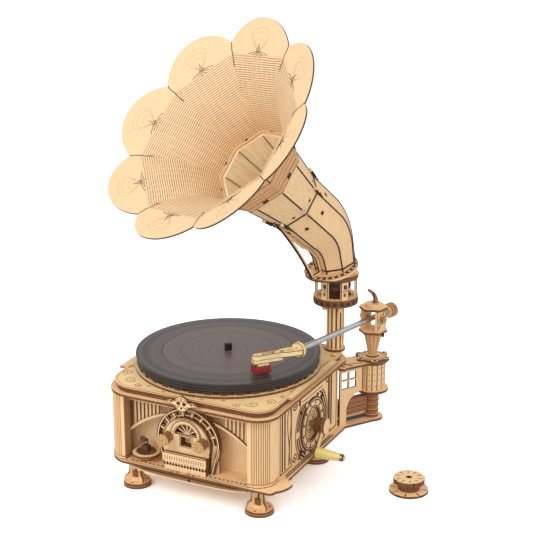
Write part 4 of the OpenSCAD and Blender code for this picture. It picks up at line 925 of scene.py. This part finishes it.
# %% Side strokes
HUB = (11.0, 80.0)
side_strokes = [arc_line(*HUB, 45.6, 126, 234), arc_line(*HUB, 45.6, -54, 54)]
bold_strokes = [arc_line(*HUB, r, start, end) for r, half in ((36.6, 68), (41.2, 60))
                for start, end in ((180 - half, 174), (186, 180 + half), (-half, half))]
for y, low, high in ((-70.3, 51, 127), (-63.3, 51, 127), (60.5, 57, 126), (68.5, 57, 126)):
    bold_strokes.append([(y, low), (y, high)])
for a, b in ((-1, 1), (1, 1), (-1, -1), (1, -1)):
    side_strokes.append(spiral(HUB[0] + 47 * a, 88 + 33 * b, 6.5, 90 - 90 * b, a * b))
    side_strokes.append(spiral(HUB[0] + 36 * a, 88 + 38 * b, 3.5, 90, -a * b))
for start, end in ((-76, -46), (64, 84)):
    side_strokes.append([(start, 48), (start, 128), (end, 128), (end, 48), (start, 48)])
for y, sway in ((-54.0, 2.2), (-49.0, -2.2)):
    side_strokes.append([(y + sway * sin(pi * i / 8), 52 + 72 * i / 16) for i in range(17)])
print("side strokes:", len(side_strokes), "thin", len(bold_strokes), "bold")

# %% Side drawings
BOTH_SIDES = (("right", 1), ("left", -1))
for side, hand in BOTH_SIDES:
    draw("side_drawings_" + side, 2.6, laid("side", hand * 106.4, side_strokes), brown_line)
draw("rosette_rings", 1.6, laid("side", 108.8, circles(HUB, (32.6, 29.9, 22.4))))
draw("rosette_rings_left", 1.2, laid("side", -106.8, circles(HUB, (32.6, 29.4))))
for side, hand in BOTH_SIDES:
    draw("side_bands_" + side, 3.2, laid("side", hand * 106.3, bold_strokes))
# painted shade: dark blocks in the hollows between the arcs above and below each rosette, where shade falls
hollow_shade = [(shift(x, HUB[0] + y, HUB[1] + z), (0.8, 8.5, 6.0))
           for x in (-107.0, 107.0) for y, z in ((1, 37.0), (-1, -33.2))]
repeat("side_hollow_shade", blocks, hollow_shade)
base_lines = [[(112.4, -70), (112.4, 64)], [(109.6, -66), (109.6, 62)], [(-106.2, -84), (-106.2, 84)]]
draw("base_lines", 1.5, laid("top", FLOOR_Z - 0.1, base_lines))

# %% [markdown]
# ## Front: ledge, arch and keys
# The ledge in front of the arch has a row of dashes and a small scroll ornament. Two lines follow the
# arch's edge and one each the radio face's arc and window, and the key shelf ends in dark teeth.

# %% Ledge and arch
LEDGE_MIDDLE = -1.6
ledge_strokes = [[(-80, -112.6), (84, -112.6)]]
for s in (-1, 1):
    ledge_strokes += [spiral(LEDGE_MIDDLE + 7 * s, -116 + 3.4, 3.2, 90, -s, 1.2),
                      spiral(LEDGE_MIDDLE + 14 * s, -113.4, 2.4, 270, s, 1.1),
                      [(LEDGE_MIDDLE + out * s, y) for out, y in ((10, -110.4), (17, -110.6), (22, -111.6))]]
draw("ledge_scrolls", 0.8, laid("top", FLOOR_Z - 0.05, ledge_strokes))
ARCH_Z, ARCH_R, ARCH_Y, FACE_Y = 80.3, 42.0, -102.7, -107.3
arch_lines = []
for radius in (ARCH_R - 0.3, ARCH_R - 2.8):
    foot = (radius - 9, FLOOR_Z + 1)
    arch_lines.append([foot, (radius, ARCH_Z)] + arc_line(0, ARCH_Z, radius, 0, 180, 36)
                      + [(-radius, ARCH_Z), (-foot[0], foot[1])])
draw("arch_outline", 1.0, laid("front", ARCH_Y, arch_lines))
window = [(-8.6, 75.2), (-8.6, 89.4), (8.6, 89.4), (8.6, 75.2), (-8.6, 75.2)]
face_lines = [arc_line(0, ARCH_Z, 30.6, 0, 180, 36), arc_line(0, ARCH_Z + 9, 20.4, 4, 176, 24), window]
draw("radio_lines", 0.9, laid("front", FACE_Y, face_lines))

# %% Ledge dashes and key teeth
ledge_dashes = [dash for start, end in ((-76, -30), (30, 80))
                for dash in dashes(FLOOR_Z, (start, -107.4), (end, -107.4), 5.4, (0.3, 2.6, 3.2))]
repeat("ledge_dashes", blocks, ledge_dashes, brown_line)
teeth = [(shift(3.9 * k, -111.2, 52.2) @ rotate(45, "Y"), (2.6, 0.6, 2.6)) for k in range(-7, 8)]
repeat("key_teeth", blocks, teeth)

# %% [markdown]
# ## Feet
# Each foot is three upright fins on a disc. The laser leaves the fins' edges brown, so a thick line runs
# along each edge. A brown peg in the middle is painted shade: it darkens what is seen between the fins,
# where shade falls.

# %% Fin edges, and painted shade between the fins
FEET = [(x, y) for x in (-83.4, 83.4) for y in (-82.6, 76.0)]
FIN_EDGE = ((13.7, 6.5), (13.7, 11.2), (11.3, 12.6), (9.8, 14.5), (9.0, 17.5), (8.5, 21.5), (8.5, 32.5),
            (11.4, 36.3), (11.4, 40.8))
fins = []
for x, y in FEET:
    for degrees in (90, 210, 330):
        fins.append([(x + a, y + b, z) for a, b, z in ((*polar(r, degrees), z) for r, z in FIN_EDGE)])
draw("fin_edges", 2.6, fins, brown_line)
# painted shade: a brown peg in the middle of each foot, where the fins shade one another
repeat("foot_painted_shade", pegs, [(shift(x, y, 13.0), (12.0, 12.0, 11.0)) for x, y in FEET],
       burnt("painted_shade_brown", linear(120, 84, 44)))

# %% [markdown]
# ## Flange, collar and lantern
# A ring of small slots runs round the flange under the horn and round the collar below it. The lantern's
# posts carry thin frames with a bow. All are the same mark, turned again and again about one axis.

# %% Flange, collar and lantern
flange = horn_axes @ shift(FLANGE_X, 0, FLANGE_Z) @ rotate(FOOT_LEAN, "Y")
flange_slots = [(flange @ rotate(15 * k) @ shift(29.3, 0), (4.0, 4.4, 0.4)) for k in range(24)]
repeat("flange_slots", blocks, flange_slots, body="horn")
draw("flange_rings", 0.9, laid("top", -0.1, circles((0, 0), (26.4, 32.6), 48), flange), body="horn")
collar_slots = [(around(POST, 27.5, 18 * k + 4, 210.6), (0.5, 4.2, 3.4)) for k in range(20)]
repeat("collar_slots", blocks, collar_slots)

bow = [(0.9 + 1.6 * cos(i * pi / 6), 231.6 + 3.4 * sin(i * pi / 6)) for i in range(13)]
post_marks = ([(-4.7, 216), (-4.7, 238.4)], [(4.7, 216), (4.7, 238.4)], [(-4.7, 226.8), (4.7, 226.8)], bow)
posts = [shift(*POST) @ rotate(60 * k + 20) for k in range(6)]
draw("lantern_strokes", 0.9, [path for post in posts for path in laid("side", 25.35, post_marks, post)])

# %% [markdown]
# ## Tower and yoke
# The drum has rows of pegs' ends, its ring and the shelf have rings and scrolls, and the yoke's cheeks
# are framed. The yoke turns with the arm, so its marks ride on the arm's post.

# %% Tower details
DOT_ROWS, RING_Z, SHELF_Z = (90.0, 98.0, 106.0, 113.5), 125.9, 122.9
drum_dots = [(around(TOWER, 17, 22.5 * k + 11.25, z) @ rotate(90, "Y"), (1.3, 1.3, 0.5))
             for k in range(16) for z in DOT_ROWS]
repeat("drum_dots", pegs, drum_dots, brown_line)
x, y = polar(12.5, 30)
repeat("plate_bead", pegs, [(shift(TOWER[0] + x, TOWER[1] + y, 155.2), (4.2, 4.2, 8.0))], body="arm_post")
yoke = shift(*TOWER) @ rotate(ARM_HEADING)
CHEEK_FACE = 9.5 + PLY - 0.1
cheek_marks = ([(-8.8, 163), (-8.8, 188.6)], [(8.8, 163), (8.8, 188.6)], arc_line(0, 177.2, 6.4),
               spiral(5.4, 167.6, 3.0, 90, 1, 1.1, 14), spiral(-5.4, 186.0, 2.6, 270, 1, 1.1, 14))
cheek_strokes = [path for y in (-CHEEK_FACE, CHEEK_FACE) for path in laid("front", y, cheek_marks, yoke)]
draw("cheek_scrolls", 1.0, cheek_strokes, body="arm_post")
tower_strokes = circles(TOWER, (16.4, 13.4))
for k in range(6):
    x, y = polar(19.5, 60 * k)
    tower_strokes.append(spiral(TOWER[0] + x, TOWER[1] + y, 2.9, 60 * k, 1, 1.0, 12))
draw("tower_scrolls", 0.9, laid("top", RING_Z, tower_strokes))
shelf_strokes = [arc_line(*TOWER, 18.8, -60, 200, 30), [(112, 108), (140, 128)]]
draw("shelf_lines", 1.0, laid("top", SHELF_Z, shelf_strokes))

# %% [markdown]
# ## Headshell and crest
# The headshell is three boards, so brown lines mark the edges where they meet, and two scrolls lie on its
# top. It is drawn in its own axes, which turn and sink with the arm. The crest over the arch is outlined,
# with its strokes mirrored about its middle.

# %% Headshell strokes
SHELL_AT, SHELL_LEN, SHELL_TURN, ARM_DIP = 160.0, 57.0, -25, -1.3
arm = shift(*TOWER, 177.2) @ rotate(ARM_HEADING) @ rotate(ARM_DIP, "Y")
shell = arm @ shift(SHELL_AT, 0) @ rotate(SHELL_TURN)
outline = ([(-4, -8), (16, -7), (24, -4.5)] + arc_line(SHELL_LEN - 4.5, 0, 4.5, -90, 90, 8)
           + [(24, 4.5), (16, 7), (-4, 8)])
block = [(20, -5), (SHELL_LEN - 1, -5), (SHELL_LEN - 1, 5), (20, 5), (20, -5)]
top_strokes = [spiral(19, 0, 3.4, 0, 1, 1.3, 16), spiral(31, 0.4, 2.8, 90, -1, 1.3, 16),
               [(24, -1.6), (44, -1.6)], [(35, 1.8), (46, 1.8)]]
shell_strokes = []
for level, strokes in ((2.9, [outline]), (-2.9, [outline]), (-6.9, [block]), (3.0, top_strokes)):
    shell_strokes += laid("top", level, strokes, shell)
for along in (SHELL_AT - 7, SHELL_AT - 2):
    shell_strokes += laid("side", along, circles((0, 0), [9.4], 28), arm)
draw("shell_strokes", 0.9, shell_strokes, brown_line, body="tonearm")

# %% Crest strokes
CREST, CREST_Y = (6.0, 140.5), -127.1
crest_half = ([(0, 8.5), (6, 5.5), (9, 1), (14, 2.5), (22, -1.5), (14, -3), (9, -4.5), (5, -9), (0, -11)],
              [(3, 5), (7.6, 1.4), (13, 0.9), (19, -0.9)], spiral(4.2, -1, 3.6, 90, 1, 0.9, 14),
              [(0.6, 6.6), (0.6, 1.4)], [(1.6, -3.6), (4.6, -6.4), (8.0, -3.4)])
crest_strokes = [[(CREST[0] + side * a, CREST[1] + b) for a, b in stroke] for side in (-1, 1)
                 for stroke in crest_half]
draw("crest_strokes", 0.9, laid("front", CREST_Y, crest_strokes), brown_line)

# %% [markdown]
# ## Adapter
# The loose puck is pressed together from discs with tabs, so dark slots show round its top and its foot.

# %% Adapter marks
adapter_marks = []
for k in range(10):
    spoke = shift(221.0, 46.0) @ rotate(36 * k + 8)
    adapter_marks += [(spoke @ shift(13.6, 0, 18.0), (5.4, 1.0, 0.3)),
                      (spoke @ shift(23.5, 0, 1.5), (0.6, 2.6, 2.2))]
repeat("adapter_marks", blocks, adapter_marks, body="adapter")


# %% [markdown]
# ## Record, metal and coloured parts
# The record's grooves are far too fine to model. They are a wave of the distance from the spindle that
# feeds a bump, with dark bands between the tracks. The other parts are plain plastic, rubber, steel and
# brass, each with a slight cloudiness, because no real surface has one even colour.

# %% Record and mat
def record_finish():
    finish = Finish("record_grooves", Roughness=0.34, Specular_IOR_Level=0.22)
    radius = (finish.x * finish.x + finish.y * finish.y) ** 0.5
    inner = 1 - radius.step(79.0, 79.8)
    tracks = finish.noise(0.45, detail=4.0, spot=finish.node("CombineXYZ", X=radius)).step(0.35, 0.65)
    outer_colour = finish.mix(tracks, linear(66, 56, 53), linear(96, 84, 80))
    inner_colour = finish.mix(tracks * 0.7, linear(88, 75, 68), linear(112, 97, 88))
    colour = finish.mix(inner, outer_colour, inner_colour)
    bands = radius.within(57.6, 59.0) + radius.within(23.4, 24.2) + radius.within(79.2, 82.0)
    bands = (bands + radius.within(97.0, 104.0, 2.0)) * 0.55 + radius.step(108.5, 110.5) * 0.8
    colour = finish.mix(bands, colour, linear(40, 31, 30))
    colour = finish.mix(finish.face(UP, 0.4, 0.7), linear(72, 64, 60), colour)
    finish.bump(radius.wave(0.9), 0.00005, 0.5)
    return finish.coloured(colour)


def mat_finish():
    """The thick black mat shows two thin paler lines round its side."""
    finish = Finish("black_mat", Roughness=0.5)
    rings = finish.z.within(156.0, 156.5, 0.25) + finish.z.within(152.6, 153.0, 0.25)
    return finish.coloured(finish.mix(rings, linear(22, 15, 15), linear(74, 66, 62)))


dress(record_finish(), "record")
dress(mat_finish(), "platter_mat")


# %% Plastic, rubber and metal
def plain(name, colour, roughness, metallic=0.0):
    finish = Finish(name, Roughness=roughness, Metallic=metallic)
    cloud = finish.noise(0.2).step(0.3, 0.7)
    finish.bump(finish.noise(3.0), 0.00003, 0.3)
    return finish.coloured(finish.mix(cloud, colour, tuple(0.85 * c for c in colour)))


dress(plain("black_rubber", linear(30, 26, 26), 0.55), "friction_wheel")
dress(plain("black_gloss", linear(26, 22, 22), 0.25), "spindle_cap battery_box")
dress(plain("dark_brown_cone", linear(84, 54, 34), 0.6), "speaker")
dress(plain("silver_metal", linear(196, 198, 202), 0.28, 1.0),
      "tonearm_tube crank_shaft countershaft platter_shaft")
dress(plain("polished_brass", linear(214, 176, 104), 0.25, 1.0), "pivot_pin platter_bush")
dress(plain("red_gloss", linear(150, 40, 40), 0.3), "cartridge")


# %% Crank handle
FERRULE = 3.2


def handle_finish():
    """Smooth yellow wood that ends in a grey metal ferrule."""
    finish = Finish("yellow_wood")
    tip = finish.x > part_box("crank_handle")[1][0] * 1000 + MIDDLE[0] - FERRULE
    cloud = finish.noise(0.2, (0.1, 1, 1)).step(0.3, 0.7)
    wood = finish.mix(cloud, linear(250, 232, 150), linear(232, 210, 124))
    finish.set("Roughness", tip * -0.15 + 0.45)
    finish.set("Metallic", tip * 1.0)
    return finish.coloured(finish.mix(tip, wood, linear(150, 146, 138)))


dress(handle_finish(), "crank_handle")

# %% [markdown]
# ## Floor and light
# A plain pale floor keeps the object's soft shadow. For the camera alone it is drawn brighter than it
# is, so the background comes out white without putting more light on the wood. Two large soft lamps and
# an even sky light the object at a plain level.

# %% Floor
FLOOR_HALF = 6
corners = [(a * FLOOR_HALF, b * FLOOR_HALF, 0) for a, b in ((-1, -1), (1, -1), (1, 1), (-1, 1))]
floor_mesh = bpy.data.meshes.new("floor")
floor_mesh.from_pydata(corners, [], [(0, 1, 2, 3)])
floor = put("floor", floor_mesh)
paper = Finish("paper_floor", Roughness=0.9, Specular_IOR_Level=0.0)
seen = paper.node("LightPath", output="Is Camera Ray")
paper.set("Base Color", paper.mix(seen, (0.80, 0.80, 0.80), (1.72, 1.80, 1.90)))
floor.data.materials.append(paper.material)
print("floor:", 2 * FLOOR_HALF, "m wide")

# %% Light
world = bpy.data.worlds.new("studio")
world.use_nodes = True
bpy.context.scene.world = world
sky = Tree()
sky.tree = world.node_tree
background = sky.tree.nodes["Background"]
background.inputs["Color"].default_value = (1, 1, 1, 1)
camera_ray, glossy_ray = (sky.node("LightPath", output=name) for name in ("Is Camera Ray", "Is Glossy Ray"))
sky.feed(background.inputs["Strength"], camera_ray.high(glossy_ray) * 0.3 + 0.7)


def softbox(name, where, aim, size, power):
    lamp = bpy.data.lights.new(name, "AREA")
    lamp.shape, lamp.size, lamp.energy = "DISK", size, power
    made = put(name, lamp)
    made.location = where
    made.rotation_euler = (Vector(aim) - Vector(where)).to_track_quat("-Z", "Y").to_euler()
    print(name, power, "W at", where)


softbox("key_light", (1.9, -1.2, 1.9), (0, 0, 0.2), 1.6, 14)
softbox("fill_light", (-0.9, -2.1, 1.7), (0, 0, 0.25), 1.4, 24)
bpy.context.scene.view_settings.view_transform = "Standard"
